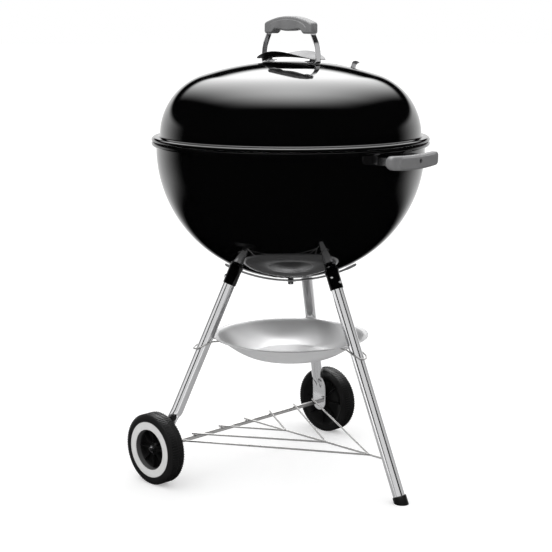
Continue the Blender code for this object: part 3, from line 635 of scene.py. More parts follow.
def eased(value, start, end):
    """0 before start, 1 past end, and smooth between them."""
    t = min(1.0, max(0.0, (value - start) / (end - start)))
    return t * t * (3 - 2 * t)


def side_grip_rings():
    rings = []
    for k in range(-60, 61):
        y = grip_half * math.sin(k / 60 * math.pi / 2)
        edge = abs(y) / grip_half
        end = max(0.0, (edge - 0.86) / 0.14)
        close = math.sqrt(max(0.0, 1 - 0.96 * end**2))
        high = 0.0115 + 0.003 * edge**2
        low = -0.0165 + 0.0045 * edge**2
        outer = grip_out - pad_lift - 0.0025 * edge**2
        depth = (outer - grip_in) / 2 * (0.62 + 0.38 * close)
        half = (high - low) / 2 * (0.42 + 0.58 * close)
        middle = grip_z + (high + low) / 2
        ring = []
        for a, b in rounded(depth, half, min(0.0052, depth * 0.9, half * 0.9), 10, 6):
            x = grip_in + depth + a
            pad = eased(a, depth * 0.55, depth * 0.9) * eased(half * 0.8 - abs(b), 0, 0.0012)
            bow = 0.0095 - math.sqrt(max(0.0, 0.0095**2 - b * b))
            pad *= eased(y + 0.0555 - bow, 0, 0.0014) * eased(0.06 - y, 0, 0.0014)
            ring.append(Vector((x + pad * pad_lift, y, middle + b)))
        rings.append(ring)
    return rings


def pegs(runs, radius, sides=32):
    """Round bars from point to point, in one bmesh."""
    bm = bmesh.new()
    for start, end in runs:
        start, end = Vector(start), Vector(end)
        turn = (end - start).to_track_quat("Z", "Y").to_matrix().to_4x4()
        lie = Matrix.Translation((start + end) / 2) @ turn
        size = {"radius1": radius, "radius2": radius, "depth": (end - start).length}
        bmesh.ops.create_cone(bm, cap_ends=True, segments=sides, matrix=lie, **size)
    return bm


def domed_screw(head_r, head, shank_r, length):
    """A domed head with a washer face, on a shank that runs down to -length."""
    outline = [(0, head)] + [(head_r * 0.92 * math.sin(a), head * (0.35 + 0.65 * math.cos(a)))
                             for a in (0.35, 0.7, 1.05, 1.35)]
    outline += [(head_r * 0.93, head * 0.28), (head_r, head * 0.2), (head_r, 0), (shank_r, 0)]
    return outline + [(shank_r, -length), (0, -length)]


def make_side_handles():
    along_x = Matrix.Rotation(math.pi / 2, 4, "Y")
    wall = math.sqrt((side_x + side_r) ** 2 - 0.052**2) + 0.0004
    bow_path = [(wall, -0.052, grip_z), (0.296, -0.052, grip_z), (0.302, -0.0512, grip_z)]
    bow_path += [(0.3058, -0.0475, grip_z), (0.3065, -0.043, grip_z), (0.3065, -0.02, grip_z)]
    bow_path += [(x, -y, z) for x, y, z in bow_path[::-1]]
    for name, turn in (("right", 0), ("left", math.pi)):
        place = Matrix.Rotation(turn + grip_turn, 4, "Z")
        grip = joined(f"side_grip_{name}", skinned(side_grip_rings()), nylon)
        grip = settled(grip, None, 40)
        grip = carved(grip, pegs([((0.3185, grip_screw_y, grip_z), (0.34, grip_screw_y, grip_z))], 0.0046))
        fit(settled(grip, place, 40), "base", "grip_nylon", f"side_handle_grip_{name}")
        bow = swept(softened(bow_path), (0, 0, 1), 0.0012, 0.008, 0.0006)
        bow = joined(f"side_bow_{name}", bow, bright_steel)
        fit(settled(bow, place), "base", "bright_steel", f"side_handle_bracket_{name}")
        lie = place @ Matrix.Translation((0.3187, grip_screw_y, grip_z)) @ along_x
        screw = domed_screw(0.0038, 0.0022, 0.0019, 0.0135)
        screw = turned(f"side_screw_{name}", screw, bright_steel, 32, lie, False)
        fit(screw, "base", "bright_steel", f"side_handle_screw_{name}")


make_side_handles()


# The lid: the kettle's upper half, a flat crown running through a tight shoulder into a skirt that
# ends in a cove and a rolled lip over the bowl's bead. A steel hook is welded inside its left edge.
crown_r = 0.592
shoulder_r = 0.1291
shoulder_x = 0.14
shoulder_z = 0.7202
lip_r = 0.0062
lip_z = 0.7134
cove_r = 0.0045
cove_z = lip_z + lip_r + cove_r
crown_z = shoulder_z - math.sqrt((crown_r - shoulder_r) ** 2 - shoulder_x**2)
crown_end_deg = 90 - math.degrees(math.asin(shoulder_x / (crown_r - shoulder_r)))
shoulder_end_deg = math.degrees(math.asin((cove_z - shoulder_z) / shoulder_r))
vent_y = 0.13
tab_turn = math.radians(23)
vent_hole_r = 0.01
vent_ring_r = 0.0245


def lid_height(radius):
    """Height of the crown's outer face at a radius."""
    return crown_z + math.sqrt(crown_r**2 - radius**2)


vent_tilt = Matrix.Rotation(-math.asin(vent_y / crown_r), 4, "X")
vent_place = Matrix.Translation((0, vent_y, lid_height(vent_y))) @ vent_tilt


def lid_face(inset):
    """From the crown's top to the edge of the skirt, inset from the outer face."""
    crown = arc(0, crown_z, crown_r - inset, 90, crown_end_deg, 26)
    radius = shoulder_r - inset
    shoulder = arc(shoulder_x, shoulder_z, radius, crown_end_deg, shoulder_end_deg, 44)
    cove_x = shoulder_x + math.sqrt(shoulder_r**2 - (cove_z - shoulder_z) ** 2) + cove_r
    cove = arc(cove_x, cove_z, cove_r + inset, 180, 270, 12)
    lip = arc(rim_r - lip_r, lip_z, lip_r - inset, 90, 0, 16)
    return crown + shoulder[1:] + cove[1:] + lip


def make_lid():
    edge_r = sheet / 2
    skirt = lid_face(0)[-1]
    edge = arc(skirt[0] - edge_r, skirt[1], edge_r, 0, -180, 6)
    outline = lid_face(0)[:-1] + edge + lid_face(sheet)[-2::-1]
    lid = turned("kettle_lid", outline, enamel, 192, closed=False)
    holes = []
    for k in range(4):
        a = tab_turn + math.radians(90 * k)
        spot = vent_ring_r * Vector((math.cos(a), math.sin(a), 0))
        holes.append((vent_place @ (spot - Vector((0, 0, 0.01))), vent_place @ (spot + Vector((0, 0, 0.01)))))
    fit(carved(lid, pegs(holes, vent_hole_r)), "lid", "enamel", "lid_shell")
    hook = [(0.2555, 0, 0.768), (0.26, 0, 0.757), (0.2622, 0, 0.745), (0.2608, 0, 0.738)]
    hook += [(0.256, 0, 0.735), (0.2505, 0, 0.7355), (0.248, 0, 0.74), (0.248, 0, 0.748)]
    strip = swept(softened(hook), (0, 1, 0), 0.00098, 0.0088, 0.0006)
    strip = joined("lid_hanging_hook", strip, bright_steel)
    fit(settled(strip, Matrix.Rotation(math.pi, 4, "Z")), "lid", "bright_steel", "lid_hook")


make_lid()


# The lid's vent: a dished aluminium disc with four holes, turned over the lid's own four by a
# bent-up tab, and held by one rivet.
vent_disc_r = 0.045
tab_half = 0.0135
tab_high = 0.015


def make_vent():
    lift, thick = 0.0006, 0.001
    radii = [0.0036, 0.01, 0.018, 0.026, 0.034, 0.04, vent_disc_r - 0.0004]
    face = [(r, math.sqrt((crown_r + lift) ** 2 - r * r) - crown_r) for r in radii]
    edge = [(vent_disc_r, face[-1][1] + thick * share) for share in (0.3, 0.7)]
    over = [(r, z + thick) for r, z in face]
    disc = turned("vent_disc", face + edge + over[::-1], satin_sheet, 96)
    holes = []
    for k in range(4):
        a = tab_turn + math.radians(45 + 90 * k)
        x, y = vent_ring_r * math.cos(a), vent_ring_r * math.sin(a)
        holes.append(((x, y, -0.01), (x, y, 0.01)))
    disc = carved(disc, pegs(holes, vent_hole_r))
    fit(settled(disc, vent_place), "lid_damper", "aluminium", "lid_damper")
    path = [(vent_disc_r - 0.009, 0, 0.0000), (vent_disc_r - 0.005, 0, 0.0002)]
    path += [(vent_disc_r - 0.0024, 0, 0.0012), (vent_disc_r - 0.0015, 0, 0.0035)]
    path += [(vent_disc_r - 0.0012, 0, 0.0065), (vent_disc_r - 0.0008, 0, 0.0095)]
    path += [(vent_disc_r + 0.0004, 0, 0.012), (vent_disc_r + 0.0024, 0, 0.0138)]
    path += [(vent_disc_r + 0.005, 0, 0.0146), (vent_disc_r + 0.0078, 0, tab_high)]
    path = softened(path, 4)
    widths = []
    for spot in path:
        tip = min(1.0, max(0.0, (spot.x - vent_disc_r - 0.0015) / 0.0063))
        widths.append(tab_half * (0.5 + 0.5 * math.sqrt(max(0.0, 1 - tip * tip))))
    tab = joined("vent_tab", swept(path, (0, 1, 0), 0.0006, widths, 0.0004), satin_sheet)
    lie = vent_place @ Matrix.Rotation(tab_turn, 4, "Z")
    fit(settled(tab, lie), "lid_damper", "aluminium")
    outline = [(0, 0.005), (0.002, 0.0048), (0.0036, 0.0044), (0.0048, 0.0036), (0.0055, 0.0026)]
    outline += [(0.0055, 0.002), (0.003, 0.002), (0.003, -0.0045), (0, -0.0045)]
    rivet = turned("vent_rivet", outline, bright_steel, 32, vent_place, closed=False)
    fit(rivet, "lid", "bright_steel", "lid_damper_rivet")


make_vent()


# The lid's handle: a nylon grip with an arched face on two bowed steel straps, bolted through the
# crown, over a saddle-shaped aluminium shield that keeps the heat off the fingers.
bolt_x = 0.061
grip_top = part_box("lid_handle_grip")[1].z
grip_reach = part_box("lid_handle_grip")[1].x
shield_reach = 0.083
shield_thick = 0.001


def lid_grip_rings():
    rings = []
    for k in range(-110, 111):
        x = grip_reach * math.sin(k / 110 * math.pi / 2)
        away = abs(x)
        end = max(0.0, (away - (grip_reach - 0.0045)) / 0.0045)
        close = math.sqrt(max(0.0, 1 - 0.9 * end**2))
        high = grip_top - 0.0004 - 3.1 * x * x
        low = 0.9315 + 0.003 * eased(away, 0.004, 0.034) - 0.0083 * eased(away, 0.035, 0.046)
        middle, half = (high + low) / 2, (high - low) / 2
        wide = 0.0114 * (0.72 + 0.28 * close)
        half *= 0.78 + 0.22 * close
        ring = []
        for a, b in rounded(wide, half, min(0.0042, half * 0.7), 24, 8):
            arch = 0.0205 * math.sqrt(max(0.0, 1 - (away / 0.054) ** 2)) + 0.0035
            up = (middle + b) - 0.931
            panel = eased(abs(a), wide * 0.6, wide * 0.9) * eased(arch - up, 0.0, 0.0008)
            panel *= eased(0.0535 - away, 0.0, 0.0015)
            side = math.copysign(1, a)
            ring.append(Vector((x, a + side * panel * 0.0009, middle + b)))
        rings.append(ring)
    return rings


def make_handle():
    grip = settled(joined("lid_grip", skinned(lid_grip_rings()), nylon), None, 40)
    pockets = [((x, 0, 0.932), (0.005, 0.016, 0.0192), Matrix()) for x in (-0.0615, 0.0615)]
    fit(carved(grip, blocks(pockets)), "lid", "grip_nylon", "lid_handle_grip")
    foot = 0.00165
    flat = [(x, 0, lid_height(x) + foot) for x in (0.053, 0.06, 0.067, 0.0725)]
    bow = [(0.0762, 0, 0.869), (0.0775, 0, 0.874), (0.0768, 0, 0.886), (0.0748, 0, 0.898)]
    bow += [(0.0715, 0, 0.908), (0.0665, 0, 0.918), (0.0628, 0, 0.9262), (0.0613, 0, 0.94)]
    for name, turn in (("right", 0), ("left", math.pi)):
        place = Matrix.Rotation(turn, 4, "Z")
        strap = swept(softened(flat + bow), (0, 1, 0), 0.00122, 0.007, 0.0008)
        strap = settled(joined(f"handle_strap_{name}", strap, bright_steel), place)
        fit(strap, "lid", "bright_steel", f"lid_handle_strap_{name}")
        seat = lid_height(bolt_x) + 0.0051
        under = lid_height(bolt_x) - sheet - 0.0075
        spot = place @ Matrix.Translation((bolt_x, 0, seat))
        bolt = domed_screw(0.0055, 0.004, 0.003, seat - under)
        bolt = turned(f"handle_bolt_{name}", bolt, bright_steel, 40, spot, False)
        fit(bolt, "lid", "bright_steel", f"lid_handle_bolt_{name}")
        top = lid_height(bolt_x) - sheet - 0.0012
        nut = [(0.0034, top), (0.0058, top), (0.0062, top - 0.0005), (0.0062, top - 0.0045)]
        nut += [(0.0058, top - 0.005), (0.0034, top - 0.005)]
        nut = turned(f"handle_nut_{name}", nut, bright_steel, 6, place @ Matrix.Translation((bolt_x, 0, 0)))
        fit(nut, "lid", "bright_steel", f"lid_handle_nut_{name}")


def shield_height(x, y):
    """A saddle: it falls towards its two ends and rises towards its two long edges."""
    run = abs(x) / shield_reach
    return 0.8795 - 0.0045 * run**2 + 6.0 * y * y * (1 - 0.3 * run**2)


def make_shield():

    def sheet_of(u, v, side):
        x = shield_reach * math.sin((2 * u - 1) * math.pi / 2)
        half = 0.015 + 0.03 * max(0.0, 1 - (x / shield_reach) ** 2) ** 0.8
        y = half * (2 * v - 1)
        return Vector((x, y, shield_height(x, y) - shield_thick * side))

    shield = settled(joined("heat_shield", slab(sheet_of, 28, 64), shield_sheet))
    notch = [((x * 0.08, 0, 0.878), (0.012, 0.0176, 0.02), Matrix()) for x in (-1, 1)]
    fit(carved(shield, blocks(notch)), "lid", "aluminium", "lid_heat_shield")
    foot_z = lid_height(bolt_x) + 0.0039
    path = [(0.054, 0, foot_z + 0.0006), (0.061, 0, foot_z), (0.066, 0, foot_z - 0.0002)]
    path += [(0.0676, 0, foot_z + 0.0006), (0.068, 0, foot_z + 0.0022), (0.068, 0, 0.8762)]
    for name, turn in (("right", 0), ("left", math.pi)):
        foot = joined(f"shield_foot_{name}", swept(path, (0, 1, 0), 0.0006, 0.015, 0.0004), shield_sheet)
        fit(settled(foot, Matrix.Rotation(turn, 4, "Z")), "lid", "aluminium")


make_handle()
make_shield()


# The legs: chromed steel tubes pushed into enamelled sockets welded to the bowl, each held by a
# small button. The two left ones are pinched flat at the bottom, where the axle goes through.
tube_r = 0.0127
tube_wall = 0.0012
splay = math.radians(23.41)
foot_r = 0.3118
socket_low = 0.4508
socket_high = 0.4893
socket_r = 0.014
leg_turns = {"right": 0.0, "back": math.radians(120), "front": math.radians(240)}
axle_x = -0.138
wheel_r = 0.075
plate_y = 0.2365
plate_half = 0.0195
chrome = drawn_steel("leg_chrome", (0.8, 0.8, 0.81), 0.12)


def leg_place(turn):
    """At the foot's point on the ground, with the leg's own Z along its tube."""
    swing = Matrix.Rotation(turn, 4, "Z")
    return swing @ Matrix.Translation((foot_r, 0, 0)) @ Matrix.Rotation(-splay, 4, "Y")


def rear_leg_rings(side):
    """Rings of a left leg from its top, through the pinched stretch, to the plate's round end."""
    place = leg_place(leg_turns["back"])
    along = (place.to_3x3() @ Vector((0, 0, 1))).normalized()
    first = (Vector((1, 0, 0)) - along * along.x).normalized()
    second = along.cross(first)
    pinch_z, plate_z = 0.15, 0.092
    turns = [math.tau * k / 64 for k in range(64)]
    rings = []
    for share in (1.0, 0.8, 0.6, 0.4, 0.2, 0.0):
        t = pinch_z / math.cos(splay) + share * (socket_high - 0.0027 - pinch_z / math.cos(splay))
        spot = place @ Vector((0, 0, t))
        rings.append([spot + tube_r * (first * math.cos(a) + second * math.sin(a)) for a in turns])
    for k in range(1, 15):
        z = pinch_z + (plate_z - pinch_z) * k / 14
        spot = place @ Vector((0, 0, z / math.cos(splay)))
        flat = eased(pinch_z - z, 0, pinch_z - plate_z)
        centre = Vector((spot.x + (axle_x - spot.x) * flat, spot.y + (plate_y - spot.y) * flat, z))
        half = tube_r + (plate_half - tube_r) * eased(pinch_z - z, 0, 0.034)
        ridge = tube_r * (1 - 0.55 * flat)
        high = max(0.002, tube_r * (1 - flat) ** 0.85)
        ring = []
        for a in turns:
            x = half * math.cos(a)
            inside = max(0.0, 1 - (x / ridge) ** 2)
            plate = 0.002 * min(1.0, abs(math.sin(a)) * 3)
            blend = math.sqrt(inside) * high
            round_y = tube_r * abs(math.sin(a)) * (1 - eased(flat, 0.0, 0.25))
            y = math.copysign(max(plate, blend, round_y), math.sin(a)) if abs(math.sin(a)) > 1e-6 else 0.0
            ring.append(centre + Vector((x, y, 0.35 * y * (1 - flat))))
        rings.append(ring)
    for z in (0.086, 0.08, 0.0745):
        section = [(plate_half * math.cos(a), 0.002 * max(-1, min(1, 3 * math.sin(a)))) for a in turns]
        rings.append([Vector((axle_x + x, plate_y + y, z)) for x, y in section])
    for turn_deg in (10, 20, 30, 40, 50, 60, 70, 78, 84, 88):
        z = 0.0745 - plate_half * math.sin(math.radians(turn_deg))
        half = plate_half * math.cos(math.radians(turn_deg))
        section = [(half * math.cos(a), 0.002 * max(-1, min(1, 3 * math.sin(a)))) for a in turns]
        rings.append([Vector((axle_x + x, plate_y + y, z)) for x, y in section])
    mirrored = [[Vector((p.x, side * p.y, p.z)) for p in ring] for ring in rings]
    back = leg_place(leg_turns["back"] * side).inverted()
    return [[back @ p for p in ring] for ring in mirrored]


def make_legs():
    lock = socket_low + 0.013
    for name, turn in leg_turns.items():
        place = leg_place(turn)
        lip = 0.0008
        outline = [(socket_r - 0.001, socket_low), (socket_r - 0.0003, socket_low)]
        outline += [(socket_r, socket_low + lip), (socket_r, socket_high - 0.01)]
        outline += [(socket_r + 0.0004, socket_high - 0.004), (socket_r + 0.0016, socket_high + 0.0005)]
        outline += [(socket_r - 0.001, socket_high + 0.0005)]
        socket = turned(f"socket_{name}", outline, enamel, 64, place)
        fit(socket, "base", "enamel", f"leg_socket_{name}")
        if name == "right":
            top = socket_high - 0.0027
            tube = [(tube_r, 0.01), (tube_r, top), (tube_r - tube_wall, top), (tube_r - tube_wall, 0.01)]
            leg = turned("tube_right", tube, chrome, 72, place)
        else:
            side = 1 if name == "back" else -1
            leg = settled(joined(f"tube_{name}", skinned(rear_leg_rings(side)), chrome), place)
        fit(leg, "base", "bright_steel", f"leg_{name}")
        lie = place @ Matrix.Translation((0.0143, 0, lock)) @ Matrix.Rotation(math.pi / 2, 4, "Y")
        button = domed_screw(0.0042, 0.0027, 0.0019, 0.0043)
        button = turned(f"leg_button_{name}", button, bright_steel, 32, lie, False)
        fit(button, "base", "bright_steel", f"leg_screw_{name}")
        weld = place @ Matrix.Translation((0, 0, socket_high - 0.013))
        weld = weld @ Matrix.Rotation(math.radians(-60), 4, "Z") @ Matrix.Translation((0.0141, 0, 0))
        weld = weld @ Matrix.Rotation(math.pi / 2, 4, "Y")
        stud = domed_screw(0.0028, 0.0012, 0.0015, 0.001)
        stud = turned(f"socket_stud_{name}", stud, bright_steel, 24, weld, False)
        fit(stud, "base", "bright_steel")


make_legs()


# The cap: a black plastic cup pushed on the right leg's end, moulded level with the ground.
def moulded_black(name, colour, roughness, wear_and_highlight=None):
    """Moulded black plastic: satin, with a fine grain, and, where asked, its high spots painted paler: partly
    wear, partly painted highlight.
    """
    made, tree, shader = plain_finish(name, colour, 0, roughness, IOR=1.48)
    spot = add(tree, "ShaderNodeTexCoord").outputs["Object"]
    grain = add(tree, "ShaderNodeTexNoise", {"Vector": spot, "Scale": 700.0, "Detail": 3.0})
    scuff = add(tree, "ShaderNodeTexNoise", {"Vector": spot, "Scale": 38.0, "Detail": 7.0})
    light = tuple(c * 1.7 for c in colour)
    tone = shaded(tree, scuff.outputs["Fac"], colour, light)
    # High spots past a reach along the axis are painted paler. On tread ribs this is partly wear and partly
    # painted highlight; on hub ribs it is a painted highlight.
    if wear_and_highlight:
        axis, low, high, lightest = wear_and_highlight
        own = add(tree, "ShaderNodeAttribute", attribute_name="own").outputs["Vector"]
        spread = add(tree, "ShaderNodeVectorMath", {0: own, 1: axis}, operation="MULTIPLY")
        reach = add(tree, "ShaderNodeVectorMath", {0: spread.outputs[0]}, operation="LENGTH")
        top = ranged(tree, reach.outputs["Value"], 0.0, 1.0, low, high)
        pale = add(tree, "ShaderNodeMix", data_type="RGBA")
        tree.links.new(top, pale.inputs[0])
        tree.links.new(tone, pale.inputs[6])
        pale.inputs[7].default_value = (*lightest, 1)
        tone = pale.outputs[2]
    tree.links.new(tone, shader.inputs["Base Color"])
    level = ranged(tree, scuff.outputs["Fac"], roughness * 0.8, roughness * 1.3)
    tree.links.new(level, shader.inputs["Roughness"])
    dented(tree, shader, grain.outputs["Fac"], 0.00005, 0.4)
    return made


cap_plastic = moulded_black("cap_plastic", (0.0045, 0.0045, 0.0045), 0.34)


def make_cap():
    outer, bore = 0.0144, 0.013
    outline = [(0, -0.01), (outer, -0.01), (outer, 0.0138), (outer - 0.0004, 0.0148)]
    outline += [(bore + 0.0003, 0.0156), (bore, 0.0152), (bore, 0.0096), (0, 0.0096)]
    cap = turned("foot_cap", outline, cap_plastic, 64, leg_place(0), closed=False)
    bm = bmesh.new()
    bm.from_mesh(cap.data)
    whole = bm.verts[:] + bm.edges[:] + bm.faces[:]
    level = {"plane_co": (0, 0, 0.0), "plane_no": (0, 0, -1)}
    done = bmesh.ops.bisect_plane(bm, geom=whole, clear_outer=True, dist=1e-7, **level)
    edge = [item for item in done["geom_cut"] if isinstance(item, bmesh.types.BMEdge)]
    bmesh.ops.edgeloop_fill(bm, edges=edge)
    bmesh.ops.recalc_face_normals(bm, faces=bm.faces)
    bm.to_mesh(cap.data)
    bm.free()
    cap.data.shade_smooth()
    cap.data.set_sharp_from_angle(angle=math.radians(35))
    fit(cap, "base", "black_plastic", "leg_cap")


make_cap()


# The wheels: black plastic with cross ribs moulded on both shoulders of the tread and a seam line
# between them, a ribbed hub sunk in each face, a white ring pressed on outside, and a push nut.
wheel_in = 0.245
wheel_wide = 0.0356
ring_low_r = 0.0428
ring_high_r = 0.0587
rib_high = 0.0013
# The tops of the tread ribs are painted paler: partly wear, partly a painted highlight.
rib_wear_and_highlight = ((1, 1, 0), 0.0741, 0.0748, (0.055, 0.055, 0.055))
# The outer faces of the hub's ribs are painted paler: a painted highlight.
hub_painted_highlight = ((0, 0, 1), 0.024, 0.0249, (0.05, 0.05, 0.05))
tyre_plastic = moulded_black("tyre_plastic", (0.0055, 0.0055, 0.0055), 0.42, rib_wear_and_highlight)
hub_plastic = moulded_black("hub_plastic", (0.0045, 0.0045, 0.0045), 0.34, hub_painted_highlight)


def wheel_place(side):
    """At the wheel's inner face, its own Z pointing outwards along the axle."""
    spot = Matrix.Translation((axle_x, side * wheel_in, wheel_r))
    return spot @ Matrix.Rotation(-side * math.pi / 2, 4, "X")


def spread_tree():
    """Puts blocks evenly round Z, each turned to face outwards, beside what is given."""
    inputs = {"Core": "Geometry", "Count": "Int", "Reach": "Float", "Height": "Float"}
    inputs |= {"Size": "Vector", "Finish": "Material"}
    tree, given = open_tree("spread", inputs)
    circle = add(tree, "GeometryNodeMeshCircle", {"Vertices": given["Count"], "Radius": given["Reach"]})
    rise = add(tree, "ShaderNodeCombineXYZ", {"Z": given["Height"]})
    raised = add(tree, "GeometryNodeTransform", {0: circle.outputs[0], "Translation": rise.outputs[0]})
    where = add(tree, "GeometryNodeInputPosition").outputs[0]
    flat = add(tree, "ShaderNodeVectorMath", {0: where, 1: (1, 1, 0)}, operation="MULTIPLY")
    facing = add(tree, "FunctionNodeAlignRotationToVector", {"Vector": flat.outputs[0]}, axis="X")
    block = add(tree, "GeometryNodeMeshCube", {"Size": given["Size"]})
    placed = {"Points": raised.outputs[0], "Instance": block.outputs[0], "Rotation": facing.outputs[0]}
    ribs = add(tree, "GeometryNodeInstanceOnPoints", placed)
    whole = add(tree, "GeometryNodeJoinGeometry")
    tree.links.new(given["Core"], whole.inputs[0])
    tree.links.new(ribs.outputs[0], whole.inputs[0])
    return close_tree(tree, whole.outputs[0], given["Finish"])


spreading = spread_tree()


def with_blocks(obj, finish, count, reach, height, size):
    """A turned piece with blocks spread round its own axis."""
    inputs = {"Count": count, "Reach": reach, "Height": height, "Size": size, "Finish": finish}
    made = grown(obj.name + "_ribbed", spreading, obj.data, inputs)
    name = obj.name
    bpy.data.objects.remove(obj)
    made.name = name
    return made


def make_wheels():
    tread_r = wheel_r - rib_high
    middle = wheel_wide / 2
    shoulder = 0.0096
    half = [(0.06, 0.0004), (0.064, 0.0002), (0.069, 0.0004), (0.0716, 0.0012), (0.0732, 0.0026)]
    half += [(tread_r - 0.0006, 0.0048), (tread_r, 0.0068), (tread_r, middle - 0.0022)]
    half += [(tread_r + 0.0002, middle - 0.0012), (tread_r + 0.0005, middle - 0.0003)]
    outer = [(r, wheel_wide - z) for r, z in half[::-1]]
    tyre = [(0.0596, 0.003)] + half + outer + [(0.0596, wheel_wide - 0.003)]
    dish = [(0.0051, -0.0055), (0.0112, -0.0055), (0.012, -0.0047), (0.013, 0.0055), (0.016, 0.0075)]
    dish += [(0.042, 0.0085), (0.053, 0.006), (0.058, 0.002), (0.0598, 0.001)]
    dish += [(0.0598, wheel_wide - 0.001), (0.0592, wheel_wide - 0.0004), (0.059, wheel_wide - 0.0015)]
    dish += [(0.0426, wheel_wide - 0.0015), (0.0419, wheel_wide - 0.0022), (0.041, 0.024)]
    dish += [(0.039, 0.016), (0.016, 0.015), (0.0138, 0.019), (0.0125, 0.0228), (0.0118, 0.0235)]
    dish += [(0.0051, 0.0235)]
    ring = [(ring_high_r, wheel_wide - 0.0012), (ring_high_r, wheel_wide - 0.0003)]
    ring += [(ring_high_r - 0.0006, wheel_wide + 0.0001), (0.0535, wheel_wide + 0.0003)]
    ring += [(0.048, wheel_wide + 0.0003), (ring_low_r + 0.0006, wheel_wide + 0.0001)]
    ring += [(ring_low_r, wheel_wide - 0.0003), (ring_low_r, wheel_wide - 0.0012)]
    nut = [(0, 0.033), (0.002, 0.0329), (0.0038, 0.0324), (0.0048, 0.0314), (0.0056, 0.0296)]
    nut += [(0.008, 0.028), (0.0085, 0.0238), (0.0051, 0.0238), (0.0051, 0.0305), (0, 0.0305)]
    rib = (2 * rib_high - 0.0002, 0.0022, 0.013)
    for name, side in (("front", -1), ("back", 1)):
        place = wheel_place(side)
        body = f"wheel_{name}"
        tread = turned(f"tyre_{name}", tyre, tyre_plastic, 160)
        for height in (shoulder, wheel_wide - shoulder):
            tread = with_blocks(tread, tyre_plastic, 84, tread_r, height, rib)
        fit(settled(tread, place), body, "black_plastic", body)
        hub = turned(f"hub_{name}", dish, hub_plastic, 128)
        hub = with_blocks(hub, hub_plastic, 8, 0.0268, 0.0198, (0.0285, 0.0016, 0.0104))
        hub = with_blocks(hub, hub_plastic, 8, 0.033, 0.0052, (0.04, 0.0016, 0.0066))
        fit(settled(hub, place), body, "black_plastic")
        white = turned(f"wheel_ring_{name}", ring, ring_plastic(name), 128, place)
        fit(white, body, "white_plastic", f"whitewall_{name}")
        cap = turned(f"push_nut_{name}", nut, blade_steel, 40, place, closed=False)
        fit(cap, "base", "bright_steel", f"axle_cap_{name}")


def ring_plastic(name):
    """White plastic with a slight sheen, faintly greyed by handling."""
    made, tree, shader = plain_finish(f"white_plastic_{name}", (0.62, 0.62, 0.61), 0, 0.38, IOR=1.49)
    spot = add(tree, "ShaderNodeTexCoord").outputs["Object"]
    grime = add(tree, "ShaderNodeTexNoise", {"Vector": spot, "Scale": 60.0, "Detail": 6.0})
    dark, light = (0.56, 0.56, 0.55), (0.66, 0.66, 0.655)
    tree.links.new(shaded(tree, grime.outputs["Fac"], dark, light), shader.inputs["Base Color"])
    tree.links.new(ranged(tree, grime.outputs["Fac"], 0.3, 0.46), shader.inputs["Roughness"])
    return made


make_wheels()


# The axle and the rack: a steel rod through both pinched legs, and a shelf of plated wires, three
# nested Vs and one down the middle, welded where they cross and lying on the axle.
rack_z = 0.0823
rack_wire_r = 0.002
axle_r = 0.00475
rack_vs = ((0.224, 0.215), (0.102, 0.153), (-0.016, 0.075))
end_reach = 0.006


def make_rack():
    end = wheel_in + 0.03
    rod = [[(axle_x, -end, wheel_r), (axle_x, 0, wheel_r), (axle_x, end, wheel_r)]]
    fit(wired("wheel_axle", rod, axle_r, nickel, sides=32), "base", "plated_wire", "axle")
    tip_x = foot_r - math.tan(splay) * rack_z - 0.01
    runs = [[(axle_x - end_reach, 0, rack_z), (tip_x, 0, rack_z)]]
    for apex, spread in rack_vs:
        for side in (-1, 1):
            tip = Vector((apex, 0, rack_z + side * 0.0004))
            heel = Vector((axle_x, side * spread, rack_z + side * 0.0002))
            run = (heel - tip).normalized()
            runs.append([tip - run * 0.003, heel + run * end_reach])
    fit(wired("rack_wires", runs, rack_wire_r, nickel), "base", "plated_wire", "wire_rack")


make_rack()


# The ash pan: a shallow dish spun from aluminium, with a flat rim and a stepped floor. It hangs
# by its rim on three wire clips, one bent round each leg.
pan_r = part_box("ash_pan")[1].x
pan_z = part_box("ash_pan")[1].z
pan_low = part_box("ash_pan")[0].z
pan_thick = 0.0012
pan_side_r = pan_r - 0.0105
pan_floor_r = 0.08
pan_sheet = spun_aluminium("pan_sheet", (0.5, 0.5, 0.505), 0.36, 0.6)


def pan_outline():
    """Out along the underside, round the rim, and back along the upper face."""
    under = [(0, pan_low + 0.0026), (pan_floor_r - 0.006, pan_low + 0.0024)]
    under += [(pan_floor_r - 0.003, pan_low + 0.0006), (pan_floor_r, pan_low)]
    drop = pan_z - pan_low - 0.0024
    for k in range(1, 29):
        u = k / 28
        under.append((pan_floor_r + (pan_side_r - pan_floor_r) * u, pan_low + drop * u**1.5))
    rim = [(pan_side_r + 0.0014, pan_z - 0.0014), (pan_r - 0.003, pan_z - 0.0014)]
    rim += [(pan_r - 0.0012, pan_z - 0.0015), (pan_r - 0.0003, pan_z - 0.0012), (pan_r, pan_z - 0.0008)]
    rim += [(pan_r - 0.0006, pan_z - 0.0002), (pan_r - 0.0016, pan_z), (pan_r - 0.0028, pan_z - 0.0003)]
    rim += [(pan_r - 0.004, pan_z - 0.0006), (pan_side_r + 0.001, pan_z - 0.0006)]
    rim += [(pan_side_r + 0.0002, pan_z - 0.001)]
    over = [(r - 0.0008, z + pan_thick) for r, z in under[-2:0:-1]]
    return under + rim + over + [(0, pan_low + 0.0026 + pan_thick)]


pan = turned("pan_dish", pan_outline(), pan_sheet, 160, closed=False)
fit(pan, "ash_pan", "aluminium", "ash_pan")


